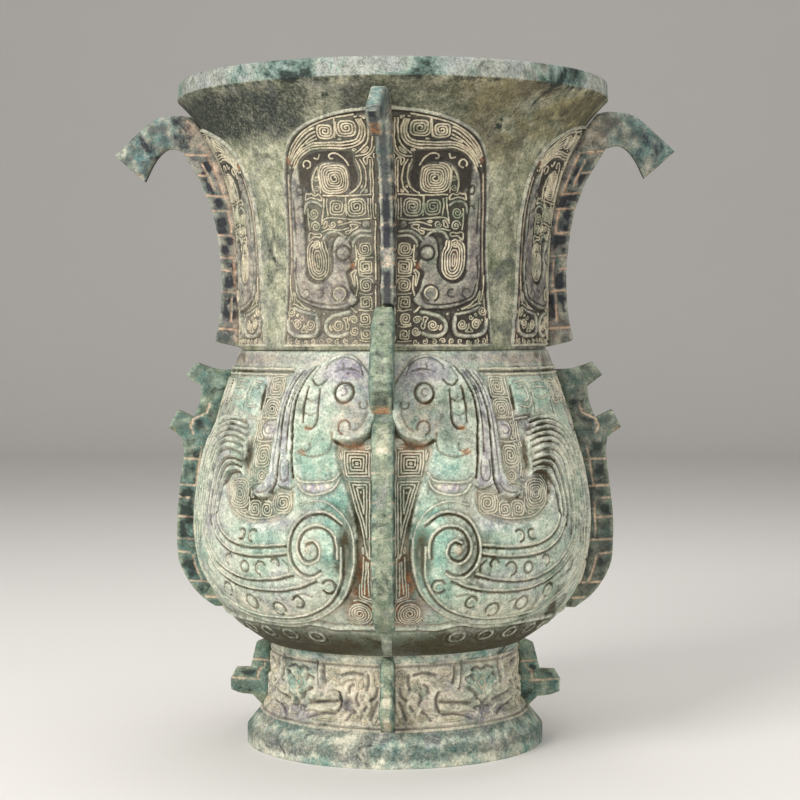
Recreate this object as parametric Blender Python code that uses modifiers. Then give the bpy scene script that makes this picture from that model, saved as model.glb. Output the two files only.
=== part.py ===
"""Bronze zun: a wine vessel with a flared neck, a swelling belly and a ring foot.

Four rows of hooked flanges stand on the walls, over leaf panels, large birds and a foot frieze.
The origin is the centre of the foot's resting face, +Z is up and -Y is the front.
"""
import math

import bmesh
import bpy
from mathutils import Matrix, Vector

# Clearance left between two seated pieces
GAP = 0.0003

# Facets round each turned piece, and the softened width of a cast corner
FACETS = 48
EDGE_ROUND = 0.0005

# Foot register
FOOT_HEIGHT = 0.0380
FOOT_RADIUS = 0.0452
FOOT_TOP_RADIUS = 0.0462
BASE_RADIUS = 0.0546
BASE_BAND = 0.0060
BASE_SPLAY = 0.0095
FOOT_WALL = 0.0022
FOOT_SPIGOT = 0.0016

# Belly register
BELLY_HEIGHT = 0.1055
BELLY_RADIUS = 0.0710
BELLY_WIDEST = 0.39
BELLY_BASE_RADIUS = 0.0475
UPPER_SWELL = 1.7
LOWER_SWELL = 2.9
BELLY_WALL = 0.0016
FLOOR_LEDGE = 0.0030
FLOOR_THICKNESS = 0.0020
FLOOR_SEAT = 0.0020

# Neck register
NECK_HEIGHT = 0.0965
NECK_RADIUS = 0.0560
MOUTH_RADIUS = 0.0782
RIM_BAND = 0.0066
FLARE_POWER = 4.2
NECK_WALL = 0.0017
LIP_WIDTH = 0.0036
NECK_LAP = 0.0050

# Flange plates
NECK_FLANGE_WIDTH = 0.0052
BELLY_FLANGE_WIDTH = 0.0066
FOOT_FLANGE_WIDTH = 0.0052
NECK_FLANGE_REACH = 0.0104
BELLY_FLANGE_REACH = 0.0178
FOOT_HOOK_REACH = 0.0064
HOOK_REACH = 0.0282
HOOK_DROP = 0.0236
HOOK_LEVEL = 0.888
FRONT_HOOK_DROP = 0.71
BEAK_REACH = 0.0330
BEAK_DROP = 0.0340
BEAK_LEVEL = 0.142

# Relief panels
LEAF_WIDTH = 0.0362
LEAF_RELIEF = 0.0011
BIRD_LENGTH = 0.0925
BIRD_EDGE = 0.0018
BIRD_RELIEF = 0.0037
BIRD_CROWN = 0.0120
BIRD_SCORE = 0.0010
FRIEZE_RELIEF = 0.0009

# Derived heights
BELLY_BASE = FOOT_HEIGHT
NECK_BASE = FOOT_HEIGHT + BELLY_HEIGHT
HEIGHT = NECK_BASE + NECK_HEIGHT
FLARE_TOP = HEIGHT - RIM_BAND
QUARTER = math.pi / 2

PARTS_NAME = "bronze_zun"


def clear_scene():
    """Remove every object of the start-up scene."""
    for item in list(bpy.data.objects):
        bpy.data.objects.remove(item, do_unlink=True)


def bronze(name, colour, roughness, metallic):
    """Make one patinated bronze finish."""
    material = bpy.data.materials.new(name)
    material.use_nodes = True
    shader = material.node_tree.nodes["Principled BSDF"]
    shader.inputs["Base Color"].default_value = (*colour, 1.0)
    shader.inputs["Roughness"].default_value = roughness
    shader.inputs["Metallic"].default_value = metallic
    return material


def add_part(name, mesh, material):
    """Place a finished mesh in the vessel's collection, smooth but for its corners."""
    item = bpy.data.objects.new(name, mesh)
    mesh.materials.clear()
    mesh.materials.append(material)
    mesh.polygons.foreach_set("use_smooth", [True] * len(mesh.polygons))
    mesh.set_sharp_from_angle(angle=math.radians(32))
    bpy.data.collections[PARTS_NAME].objects.link(item)
    return item


def neck_radius(z):
    """Outer radius of the neck below its rim band."""
    rise = min(max((z - NECK_BASE) / (FLARE_TOP - NECK_BASE), 0.0), 1.0)
    return NECK_RADIUS + (MOUTH_RADIUS - NECK_RADIUS) * rise ** FLARE_POWER


def belly_radius(z):
    """Outer radius of the plain belly wall."""
    level = min(max((z - BELLY_BASE) / BELLY_HEIGHT, 0.0), 1.0)
    if level > BELLY_WIDEST:
        rise = (level - BELLY_WIDEST) / (1 - BELLY_WIDEST)
        return BELLY_RADIUS - (BELLY_RADIUS - NECK_RADIUS) * rise ** UPPER_SWELL
    fall = (BELLY_WIDEST - level) / BELLY_WIDEST
    return BELLY_RADIUS - (BELLY_RADIUS - BELLY_BASE_RADIUS) * fall ** LOWER_SWELL


def neck_levels():
    """Heights of the neck's facets, closer together towards the mouth."""
    count = 11
    span = FLARE_TOP - NECK_BASE
    return [NECK_BASE + span * (1 - (1 - i / count) ** 1.5) for i in range(count + 1)]


def belly_levels():
    """Heights of the belly's facets, closer together where it turns in."""
    below = 7
    above = 8
    turn = BELLY_HEIGHT * BELLY_WIDEST
    low = [BELLY_BASE + turn * (i / below) ** 1.3 for i in range(below)]
    high = [BELLY_BASE + turn + (BELLY_HEIGHT - turn) * i / above for i in range(above + 1)]
    return low + high


def foot_outline():
    """Outer edge of the foot from its top to its resting face."""
    splay_top = BASE_BAND + BASE_SPLAY
    waist = FOOT_HEIGHT - 0.2 * (FOOT_HEIGHT - splay_top)
    return [
        (FOOT_TOP_RADIUS, FOOT_HEIGHT - GAP),
        (FOOT_RADIUS, waist),
        (FOOT_RADIUS + EDGE_ROUND, splay_top),
        (BASE_RADIUS - EDGE_ROUND, BASE_BAND),
        (BASE_RADIUS, BASE_BAND - 3 * EDGE_ROUND),
        (BASE_RADIUS, 0.0),
    ]


def follow(outline, z):
    """Radius of a top-to-bottom outline at one height."""
    for (r_high, z_high), (r_low, z_low) in zip(outline, outline[1:]):
        if z_low <= z <= z_high and z_high > z_low:
            return r_low + (r_high - r_low) * (z - z_low) / (z_high - z_low)
    return outline[0][0] if z > outline[0][1] else outline[-1][0]


def inset(outline, depth):
    """Move an outline inwards by a wall thickness, square to its run."""
    moved = []
    last = len(outline) - 1
    for i, (radius, height) in enumerate(outline):
        before = Vector(outline[max(i - 1, 0)])
        after = Vector(outline[min(i + 1, last)])
        run = (after - before).normalized()
        moved.append((radius + run.y * depth, height - run.x * depth))
    return moved


def turned(name, loop, material):
    """Turn a closed wall section round the vessel's axis."""
    profile = bpy.data.meshes.new(name + "_section")
    count = len(loop)
    points = [(radius, 0.0, height) for radius, height in loop]
    profile.from_pydata(points, [(i, (i + 1) % count) for i in range(count)], [])
    shell = bpy.data.objects.new(name + "_section", profile)
    bpy.context.scene.collection.objects.link(shell)
    screw = shell.modifiers.new("turn", "SCREW")
    screw.axis = "Z"
    screw.angle = 2 * math.pi
    screw.steps = FACETS
    screw.render_steps = FACETS
    screw.use_merge_vertices = True
    screw.merge_threshold = GAP / 15
    mesh = baked(shell, name)
    return add_part(name, mesh, material)


def baked(item, name):
    """Give the mesh that an object's tools make, and remove the object."""
    graph = bpy.context.evaluated_depsgraph_get()
    mesh = bpy.data.meshes.new_from_object(item.evaluated_get(graph))
    mesh.name = name
    bpy.data.objects.remove(item, do_unlink=True)
    return mesh


def plate(name, outline, thickness):
    """Cut a flat plate of one thickness along a closed outline."""
    curve = bpy.data.curves.new(name + "_outline", "CURVE")
    curve.dimensions = "2D"
    curve.fill_mode = "BOTH"
    curve.extrude = thickness / 2
    spline = curve.splines.new("POLY")
    spline.points.add(len(outline) - 1)
    for point, (x, y) in zip(spline.points, outline):
        point.co = (x, y, 0.0, 1.0)
    spline.use_cyclic_u = True
    item = bpy.data.objects.new(name + "_outline", curve)
    bpy.context.scene.collection.objects.link(item)
    mesh = baked(item, name)
    body = bmesh.new()
    body.from_mesh(mesh)
    bmesh.ops.remove_doubles(body, verts=body.verts, dist=GAP / 30)
    bmesh.ops.recalc_face_normals(body, faces=body.faces)
    body.to_mesh(mesh)
    body.free()
    return mesh


def smooth_edge(points, steps):
    """Run an even curve through the given points."""
    edge = []
    last = len(points) - 1
    for i in range(last):
        p0, p1, p2, p3 = (Vector(points[min(max(i + k, 0), last)]) for k in (-1, 0, 1, 2))
        for step in range(steps):
            t = step / steps
            bend = (2 * p1 + (p2 - p0) * t + (2 * p0 - 5 * p1 + 4 * p2 - p3) * t * t
                    + (3 * p1 - p0 - 3 * p2 + p3) * t ** 3)
            edge.append(tuple(bend * 0.5))
    return edge + [tuple(points[last])]


def stand_plate(name, outline, thickness, azimuth, material):
    """Stand a flange plate on the wall at one azimuth, measured from the front towards +X."""
    mesh = plate(name, outline, thickness)
    upright = Matrix.Rotation(math.pi / 2, 4, "X")
    mesh.transform(Matrix.Rotation(azimuth - QUARTER, 4, "Z") @ upright)
    return add_part(name, mesh, material)


def root_edge(radius_at, levels, low, high):
    """Inner edge of a flange, a clearance off the wall, from low to high."""
    heights = [low] + [z for z in levels if low + EDGE_ROUND < z < high - EDGE_ROUND] + [high]
    return [(radius_at(z) + GAP, z) for z in heights]


def neck_wall_at(z):
    """Radius of the neck's facets at one height."""
    levels = neck_levels()
    outline = [(neck_radius(level), level) for level in reversed(levels)]
    return follow(outline, z)


def belly_wall_at(z):
    """Radius of the belly's facets at one height."""
    outline = [(belly_radius(level), level) for level in reversed(belly_levels())]
    return follow(outline, z)


def foot_wall_at(z):
    """Radius of the foot's facets at one height."""
    return follow(foot_outline(), z)


def build_walls(finish):
    """Turn the neck, belly, floor and foot, each with its seat for the next."""
    neck_outer = [(neck_radius(z), z) for z in reversed(neck_levels())]
    inner_edge = inset(neck_outer, NECK_WALL)
    tongue = NECK_WALL / 2 - GAP / 2
    lip_inner = MOUTH_RADIUS - LIP_WIDTH
    neck = [(MOUTH_RADIUS - EDGE_ROUND, HEIGHT), (MOUTH_RADIUS, HEIGHT - EDGE_ROUND)]
    neck += neck_outer[:-1]
    seam = NECK_BASE + GAP / 2
    neck += [(NECK_RADIUS, seam), (NECK_RADIUS - NECK_WALL + tongue, seam)]
    neck += [(NECK_RADIUS - NECK_WALL + tongue, NECK_BASE - NECK_LAP)]
    neck += [(NECK_RADIUS - NECK_WALL, NECK_BASE - NECK_LAP)]
    neck += [point for point in reversed(inner_edge[2:-1]) if point[0] < lip_inner - EDGE_ROUND]
    neck += [(lip_inner, HEIGHT - EDGE_ROUND)]
    turned("neck_wall", neck, finish["wall"])

    floor_top = BELLY_BASE + FLOOR_LEDGE + FLOOR_THICKNESS
    hole = FOOT_TOP_RADIUS - FOOT_WALL - FLOOR_SEAT
    floor_radius = hole + FLOOR_SEAT
    outer = [(belly_radius(z), z) for z in reversed(belly_levels())]
    rebate = NECK_RADIUS - NECK_WALL + tongue + GAP
    rebate_floor = NECK_BASE - NECK_LAP - GAP
    belly = [(NECK_RADIUS, NECK_BASE - GAP / 2)] + outer[1:]
    belly += [(hole, BELLY_BASE), (hole, BELLY_BASE + FLOOR_LEDGE)]
    belly += [(floor_radius + GAP, BELLY_BASE + FLOOR_LEDGE), (floor_radius + GAP, floor_top)]
    inner = reversed(inset(outer, BELLY_WALL)[1:-1])
    belly += [p for p in inner if floor_top + EDGE_ROUND < p[1] < rebate_floor - NECK_WALL]
    belly += [(belly_wall_at(rebate_floor) - BELLY_WALL, rebate_floor), (rebate, rebate_floor)]
    belly += [(rebate, NECK_BASE - GAP / 2)]
    turned("belly_wall", belly, finish["belly"])

    floor_base = BELLY_BASE + FLOOR_LEDGE + GAP
    disc("vessel_floor", floor_radius, floor_base, floor_top, finish["inside"])

    spigot = hole - GAP
    spigot_top = BELLY_BASE + FOOT_SPIGOT
    shoulder = spigot - FOOT_WALL
    tread = BASE_RADIUS - FOOT_WALL * 1.6
    foot = [(spigot, spigot_top), (spigot, FOOT_HEIGHT - GAP)] + foot_outline()
    foot += [(tread, 0.0), (tread, BASE_BAND * 0.7)]
    foot += [(FOOT_RADIUS - FOOT_WALL, BASE_BAND + BASE_SPLAY - 2 * EDGE_ROUND)]
    foot += [(FOOT_RADIUS - FOOT_WALL, 0.84 * FOOT_HEIGHT), (shoulder, 0.95 * FOOT_HEIGHT)]
    foot += [(shoulder, spigot_top)]
    turned("foot_ring", foot, finish["foot"])


def disc(name, radius, base, top, material):
    """Make a flat round plate from its radius and the heights of its two faces."""
    body = bmesh.new()
    middle = Matrix.Translation((0.0, 0.0, (top + base) / 2))
    bmesh.ops.create_cone(body, cap_ends=True, segments=FACETS, radius1=radius, radius2=radius,
                          depth=top - base, matrix=middle)
    mesh = bpy.data.meshes.new(name)
    body.to_mesh(mesh)
    body.free()
    return add_part(name, mesh, material)


def neck_flange_outline(drop, foot_level):
    """Outline of a neck flange: a drooping hook over a waisted plate."""
    hook_z = NECK_BASE + HOOK_LEVEL * NECK_HEIGHT
    hook_r = neck_wall_at(hook_z) + GAP

    def hook(out, down):
        return (hook_r + out * HOOK_REACH, hook_z - down * HOOK_DROP * drop)

    def edge(share, level):
        z = NECK_BASE + level * NECK_HEIGHT
        return (neck_wall_at(z) + share * NECK_FLANGE_REACH, z)

    low = NECK_BASE + foot_level * NECK_HEIGHT
    crest = [hook(0.14, -0.03), hook(0.40, 0.0), hook(0.50, 0.05), hook(0.58, 0.12), hook(1.0, 0.59)]
    throat = smooth_edge([hook(0.61, 1.0), hook(0.46, 0.66), hook(0.30, 0.49), hook(0.12, 0.53)], 3)
    waist = [edge(1.0, 0.645), edge(0.827, 0.53), edge(0.731, 0.40), edge(0.692, 0.27)]
    if foot_level < 0.1:
        waist += [edge(0.788, 0.12), edge(0.952, foot_level + 0.037), edge(0.913, foot_level + 0.022)]
    else:
        waist += [edge(0.712, foot_level + 0.01)]
    outline = root_edge(neck_wall_at, neck_levels(), low, hook_z)
    return outline + crest + throat + list(reversed(smooth_edge(list(reversed(waist)), 2)))


def belly_edge(share, level):
    """A point standing off the belly wall, as shares of the flange's reach and the register."""
    z = BELLY_BASE + level * BELLY_HEIGHT
    return (belly_wall_at(z) + share * BELLY_FLANGE_REACH, z)


def lower_belly_edge():
    """Outer edge that the lower part of every belly flange shares."""
    points = [(0.539, 0.575), (0.534, 0.44), (0.539, 0.325), (0.551, 0.26), (0.5, 0.20)]
    points += [(0.438, 0.144), (0.309, 0.10)]
    return [belly_edge(*point) for point in points]


def side_belly_outline():
    """Outline of a side belly flange: two upturned hooks over a full plate."""
    low = BELLY_BASE + 0.10 * BELLY_HEIGHT
    high = BELLY_BASE + 0.93 * BELLY_HEIGHT
    outline = root_edge(belly_wall_at, belly_levels(), low, high)
    hooks = [(0.393, 0.932), (0.843, 0.955), (0.955, 0.911), (0.562, 0.870), (0.494, 0.815)]
    hooks += [(0.528, 0.762), (0.921, 0.789), (1.0, 0.729), (0.674, 0.695), (0.567, 0.651)]
    outline += [belly_edge(*point) for point in hooks]
    return outline + smooth_edge(lower_belly_edge(), 2)


def beak_outline():
    """Outline of a front or back belly flange: a long beak over a full plate."""
    low = BELLY_BASE + 0.10 * BELLY_HEIGHT
    high = NECK_BASE - 3 * EDGE_ROUND
    root_top = NECK_BASE + BEAK_LEVEL * NECK_HEIGHT
    base_r = NECK_RADIUS + GAP

    def beak(out, down):
        return (base_r + out * BEAK_REACH, root_top - down * BEAK_DROP)

    outline = root_edge(belly_wall_at, belly_levels(), low, high)
    outline += root_edge(neck_wall_at, neck_levels(), NECK_BASE + 3 * EDGE_ROUND, root_top)
    outline += smooth_edge([beak(0.30, -0.03), beak(0.62, 0.22), beak(0.85, 0.48), beak(1.0, 0.77)], 3)
    outline += smooth_edge([beak(0.80, 1.0), beak(0.62, 0.86), beak(0.44, 0.80)], 3)
    outline += [belly_edge(0.191, 0.838), belly_edge(0.191, 0.780)]
    outline += smooth_edge([belly_edge(0.410, 0.766), belly_edge(0.539, 0.728)], 2)
    return outline + smooth_edge(lower_belly_edge(), 2)


def foot_flange_outline():
    """Outline of a foot flange: a short plate with one hook."""
    low = BASE_BAND + BASE_SPLAY * 0.62
    high = 0.98 * FOOT_HEIGHT
    levels = [z for radius, z in foot_outline()]
    outline = root_edge(foot_wall_at, sorted(levels), low, high)

    reach = BASE_RADIUS + FOOT_HOOK_REACH - FOOT_RADIUS

    def edge(share, level):
        return (FOOT_RADIUS + share * reach, level * FOOT_HEIGHT)

    hook = [(0.38, 0.92), (0.462, 0.79), (0.532, 0.67), (0.873, 0.665), (1.0, 0.57)]
    hook += [(0.987, 0.46), (0.785, 0.425), (0.481, 0.41)]
    return outline + [edge(*point) for point in hook]


def build_flanges(finish):
    """Stand four flanges on each register."""
    for name, turn in (("front", 0), ("right", 1), ("back", 2), ("left", 3)):
        facing = name in ("front", "back")
        drop = FRONT_HOOK_DROP if facing else 1.0
        foot_level = BEAK_LEVEL + 0.012 if facing else 0.008
        azimuth = turn * QUARTER
        neck = neck_flange_outline(drop, foot_level)
        stand_plate("neck_flange_" + name, neck, NECK_FLANGE_WIDTH, azimuth, finish["flange"])
        belly = beak_outline() if facing else side_belly_outline()
        stand_plate("belly_flange_" + name, belly, BELLY_FLANGE_WIDTH, azimuth, finish["flange"])
        foot = foot_flange_outline()
        stand_plate("foot_flange_" + name, foot, FOOT_FLANGE_WIDTH, azimuth, finish["flange"])


def edge_distance(outline, x, y):
    """Distance from a point to the nearest side of a closed outline."""
    here = Vector((x, y))
    best = HEIGHT
    for start, end in zip(outline, outline[1:] + outline[:1]):
        a = Vector(start)
        side = Vector(end) - a
        t = min(max((here - a).dot(side) / max(side.length_squared, 1e-12), 0.0), 1.0)
        best = min(best, (here - a - side * t).length)
    return best


def scored(name, mesh, lines, depth):
    """Score lines into a panel's face, by cutting a thin rod away along each of them."""
    curve = bpy.data.curves.new(name + "_rods", "CURVE")
    curve.dimensions = "3D"
    curve.bevel_depth = depth
    curve.bevel_resolution = 0
    curve.use_fill_caps = True
    for line in lines:
        spline = curve.splines.new("POLY")
        spline.points.add(len(line) - 1)
        for point, place in zip(spline.points, line):
            point.co = (*place, 1.0)
        spline.use_cyclic_u = (Vector(line[0]) - Vector(line[-1])).length < 4 * depth
    rods = bpy.data.objects.new(name + "_rods", curve)
    bpy.context.scene.collection.objects.link(rods)
    cutter = bpy.data.objects.new(name + "_cutter", baked(rods, name + "_cutter"))
    bpy.context.scene.collection.objects.link(cutter)
    panel = bpy.data.objects.new(name + "_panel", mesh)
    bpy.context.scene.collection.objects.link(panel)
    tool = panel.modifiers.new("score", "BOOLEAN")
    tool.operation = "DIFFERENCE"
    tool.solver = "EXACT"
    tool.object = cutter
    cut = baked(panel, name)
    bpy.data.objects.remove(cutter, do_unlink=True)
    body = bmesh.new()
    body.from_mesh(cut)
    bmesh.ops.remove_doubles(body, verts=body.verts, dist=GAP / 6)
    bmesh.ops.dissolve_degenerate(body, edges=body.edges, dist=GAP / 6)
    bmesh.ops.triangulate(body, faces=body.faces)
    body.to_mesh(cut)
    body.free()
    return cut


def wrapped(name, outline, wall_at, levels, margin, relief, turn, mirror, material, lines=()):
    """Lay a relief panel on a wall.

    The outline and the lines scored on the face run in metres: across from the flange's side face,
    and up from the ground. margin is half the flange's width, and relief gives the height at one
    point of the outline.
    """
    def laid(x, z, height):
        ground = wall_at(z) + GAP
        azimuth = math.asin((margin + GAP) / ground) + x / ground
        azimuth = turn + (-azimuth if mirror else azimuth)
        return ((ground + height) * math.sin(azimuth), -(ground + height) * math.cos(azimuth), z)

    mesh = plate(name, outline, GAP)
    body = bmesh.new()
    body.from_mesh(mesh)
    back = [face for face in body.faces if face.normal.z < 0.5]
    bmesh.ops.delete(body, geom=back, context="FACES_ONLY")
    loose = [edge for edge in body.edges if not edge.link_faces]
    bmesh.ops.delete(body, geom=loose, context="EDGES")
    bmesh.ops.dissolve_faces(body, faces=body.faces[:])
    widest = max(x for x, y in outline)
    pitch = 2 * math.pi * max(wall_at(y) for x, y in outline) / FACETS
    cuts = [((i * pitch, 0, 0), (1, 0, 0)) for i in range(1, int(widest / pitch) + 1)]
    cuts += [((0, z, 0), (0, 1, 0)) for z in levels]
    for place, normal in cuts:
        geometry = body.verts[:] + body.edges[:] + body.faces[:]
        bmesh.ops.bisect_plane(body, geom=geometry, plane_co=place, plane_no=normal, dist=GAP / 6)
    grown = bmesh.ops.extrude_face_region(body, geom=body.faces[:], use_keep_orig=True)
    front = {item for item in grown["geom"] if isinstance(item, bmesh.types.BMVert)}
    for vert in body.verts:
        x, z = vert.co.x, vert.co.y
        vert.co = laid(x, z, relief(x, z) if vert in front else 0.0)
    bmesh.ops.recalc_face_normals(body, faces=body.faces)
    if body.calc_volume(signed=True) < 0:
        bmesh.ops.reverse_faces(body, faces=body.faces)
    body.to_mesh(mesh)
    body.free()
    if lines:
        rods = [[laid(x, z, relief(x, z)) for x, z in line] for line in lines]
        mesh = scored(name, mesh, rods, BIRD_SCORE)
    return add_part(name, mesh, material)


def leaf_outline():
    """Half of a round-topped leaf beside its flange."""
    arch = [(1.0, 0.013), (0.983, 0.16), (0.953, 0.35), (0.928, 0.57), (0.898, 0.68)]
    arch += [(0.815, 0.757), (0.622, 0.803), (0.373, 0.829), (0.0, 0.838)]
    points = [(x * LEAF_WIDTH, NECK_BASE + level * NECK_HEIGHT) for x, level in arch]
    return [(0.0, points[0][1])] + smooth_edge(points, 2)


def bird_outline():
    """A standing bird with a crested head at the flange and a tail that turns up behind."""
    head = [(0.007, 0.728), (0.006, 0.787), (0.006, 0.859), (0.012, 0.904), (0.038, 0.943)]
    head += [(0.070, 0.972), (0.109, 0.982), (0.153, 0.974), (0.196, 0.952)]
    crest = [(0.247, 0.940), (0.308, 0.931), (0.343, 0.891), (0.368, 0.832), (0.392, 0.741)]
    crest += [(0.409, 0.631), (0.431, 0.584), (0.478, 0.560), (0.495, 0.542), (0.463, 0.527)]
    crest += [(0.409, 0.536), (0.364, 0.560), (0.322, 0.551), (0.300, 0.537)]
    back = [(0.311, 0.495), (0.350, 0.466), (0.426, 0.450), (0.502, 0.446), (0.566, 0.456)]
    back += [(0.618, 0.485), (0.644, 0.528), (0.658, 0.565), (0.636, 0.596), (0.599, 0.608)]
    back += [(0.564, 0.601), (0.540, 0.584), (0.527, 0.626), (0.525, 0.682), (0.542, 0.728)]
    tail = [(0.574, 0.760), (0.627, 0.780), (0.703, 0.785), (0.786, 0.774), (0.860, 0.737)]
    tail += [(0.926, 0.668), (0.975, 0.575), (1.0, 0.462), (0.976, 0.353), (0.894, 0.264)]
    tail += [(0.774, 0.200), (0.637, 0.160), (0.512, 0.136), (0.398, 0.126), (0.293, 0.130)]
    breast = [(0.219, 0.145), (0.155, 0.175), (0.098, 0.218), (0.063, 0.273), (0.048, 0.348)]
    breast += [(0.051, 0.443), (0.073, 0.523), (0.103, 0.594), (0.124, 0.649), (0.130, 0.695)]
    breast += [(0.107, 0.711), (0.062, 0.711), (0.026, 0.719)]
    points = head + crest + back + tail + breast
    return [(x * BIRD_LENGTH, BELLY_BASE + level * BELLY_HEIGHT) for x, level in points]


def bird_lines():
    """Main lines of the bird: crest plumes, tail bands, body feathers, breast spiral, collar, eye."""
    crest = [[(0.228, 0.926), (0.262, 0.877), (0.288, 0.814), (0.298, 0.741), (0.299, 0.668), (0.299, 0.603)]]
    crest += [[(0.280, 0.910), (0.315, 0.863), (0.341, 0.796), (0.351, 0.723), (0.358, 0.640), (0.372, 0.584)]]
    tail = [[(0.572, 0.640), (0.607, 0.644), (0.652, 0.634), (0.690, 0.603), (0.712, 0.547), (0.721, 0.472),
             (0.712, 0.415)]]
    tail += [[(0.563, 0.683), (0.601, 0.694), (0.658, 0.690), (0.708, 0.662), (0.745, 0.612), (0.769, 0.537),
              (0.778, 0.453), (0.764, 0.386)]]
    tail += [[(0.576, 0.729), (0.620, 0.738), (0.675, 0.732), (0.733, 0.706), (0.787, 0.649), (0.822, 0.575),
              (0.842, 0.462), (0.829, 0.362)]]
    body = [[(0.108, 0.386), (0.108, 0.311), (0.141, 0.231), (0.218, 0.181), (0.304, 0.161), (0.424, 0.157),
             (0.550, 0.168), (0.646, 0.195), (0.735, 0.234), (0.824, 0.288), (0.895, 0.366), (0.921, 0.466),
             (0.900, 0.584), (0.849, 0.683)]]
    body += [[(0.302, 0.296), (0.381, 0.281), (0.477, 0.274), (0.575, 0.285), (0.659, 0.316), (0.721, 0.358)]]
    body += [[(0.324, 0.373), (0.406, 0.364), (0.504, 0.360), (0.591, 0.373), (0.656, 0.405)]]
    spiral = [[(0.112, 0.458), (0.155, 0.485), (0.202, 0.490), (0.250, 0.473), (0.286, 0.439), (0.300, 0.390),
               (0.291, 0.339), (0.259, 0.299), (0.213, 0.290)]]
    spiral += [[(0.130, 0.409), (0.160, 0.443), (0.205, 0.449), (0.247, 0.430), (0.265, 0.392), (0.250, 0.347),
                (0.213, 0.333), (0.182, 0.356), (0.189, 0.394)]]
    collar = [[(0.134, 0.579), (0.164, 0.564), (0.201, 0.558), (0.236, 0.564), (0.265, 0.580)]]
    eye = [[(0.132, 0.856), (0.124, 0.874), (0.107, 0.886), (0.087, 0.886), (0.072, 0.874), (0.066, 0.856),
            (0.074, 0.837), (0.091, 0.826), (0.112, 0.826), (0.128, 0.837)]]
    lines = crest + tail + body + spiral + collar + eye
    return [[(x * BIRD_LENGTH, BELLY_BASE + level * BELLY_HEIGHT) for x, level in line] for line in lines]


def frieze_outline():
    """A strip of the foot between two flanges."""
    low = BASE_BAND + BASE_SPLAY + EDGE_ROUND
    high = FOOT_HEIGHT - 0.2 * (FOOT_HEIGHT - low)
    length = QUARTER * FOOT_RADIUS - FOOT_FLANGE_WIDTH - 4 * GAP
    return [(0.0, low), (length, low), (length, high), (0.0, high)]


def build_reliefs(finish):
    """Lay the leaves, the birds and the foot strips on their walls."""
    leaf = leaf_outline()
    half_neck = NECK_FLANGE_WIDTH / 2
    half_beak = max(NECK_FLANGE_WIDTH, BELLY_FLANGE_WIDTH) / 2
    pairs = (("front_right", 0, False), ("right_front", 1, True), ("right_back", 1, False),
             ("back_right", 2, True), ("back_left", 2, False), ("left_back", 3, True),
             ("left_front", 3, False), ("front_left", 0, True))
    for name, turn, mirror in pairs:
        margin = half_neck if turn % 2 else half_beak
        wrapped("neck_leaf_" + name, leaf, neck_wall_at, neck_levels(), margin,
                lambda x, z: LEAF_RELIEF, turn * QUARTER, mirror, finish["leaf"])
    bird = bird_outline()
    half_belly = BELLY_FLANGE_WIDTH / 2

    def bird_height(x, z):
        crown = min(edge_distance(bird, x, z) / BIRD_CROWN, 1.0)
        return BIRD_EDGE + (BIRD_RELIEF - BIRD_EDGE) * math.sin(crown * math.pi / 2)

    frieze = frieze_outline()
    half_foot = FOOT_FLANGE_WIDTH / 2
    quarters = (("front_right", 0, False), ("back_right", 2, True),
                ("back_left", 2, False), ("front_left", 0, True))
    for name, turn, mirror in quarters:
        wrapped("belly_bird_" + name, bird, belly_wall_at, belly_levels(), half_belly,
                bird_height, turn * QUARTER, mirror, finish["bird"], bird_lines())
        wrapped("foot_frieze_" + name, frieze, foot_wall_at, [], half_foot,
                lambda x, z: FRIEZE_RELIEF, turn * QUARTER, mirror, finish["frieze"])


def main():
    """Build the whole vessel."""
    clear_scene()
    group = bpy.data.collections.new(PARTS_NAME)
    bpy.context.scene.collection.children.link(group)
    finish = {
        "wall": bronze("neck_patina", (0.22, 0.25, 0.17), 0.74, 0.25),
        "belly": bronze("belly_patina", (0.30, 0.34, 0.25), 0.76, 0.20),
        "inside": bronze("inside_bronze", (0.08, 0.10, 0.08), 0.70, 0.35),
        "foot": bronze("foot_patina", (0.33, 0.34, 0.26), 0.78, 0.20),
        "flange": bronze("flange_patina", (0.20, 0.27, 0.22), 0.72, 0.25),
        "leaf": bronze("leaf_patina", (0.30, 0.29, 0.21), 0.78, 0.20),
        "bird": bronze("bird_patina", (0.29, 0.38, 0.29), 0.74, 0.20),
        "frieze": bronze("frieze_patina", (0.37, 0.34, 0.26), 0.80, 0.18),
    }
    build_walls(finish)
    build_flanges(finish)
    build_reliefs(finish)


main()
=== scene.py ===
"""Looks of a cast bronze zun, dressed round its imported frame.

Every ornament is drawn once on the unrolled wall of its register, in millimetres: across from the
middle of a flange, and up along the wall. Geometry Nodes then lay it on the wall, quarter by quarter.
"""
import logging
import math
from dataclasses import dataclass, field
from enum import Enum

import bmesh
import bpy
import numpy as np
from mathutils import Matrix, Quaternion, Vector, geometry, noise


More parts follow.
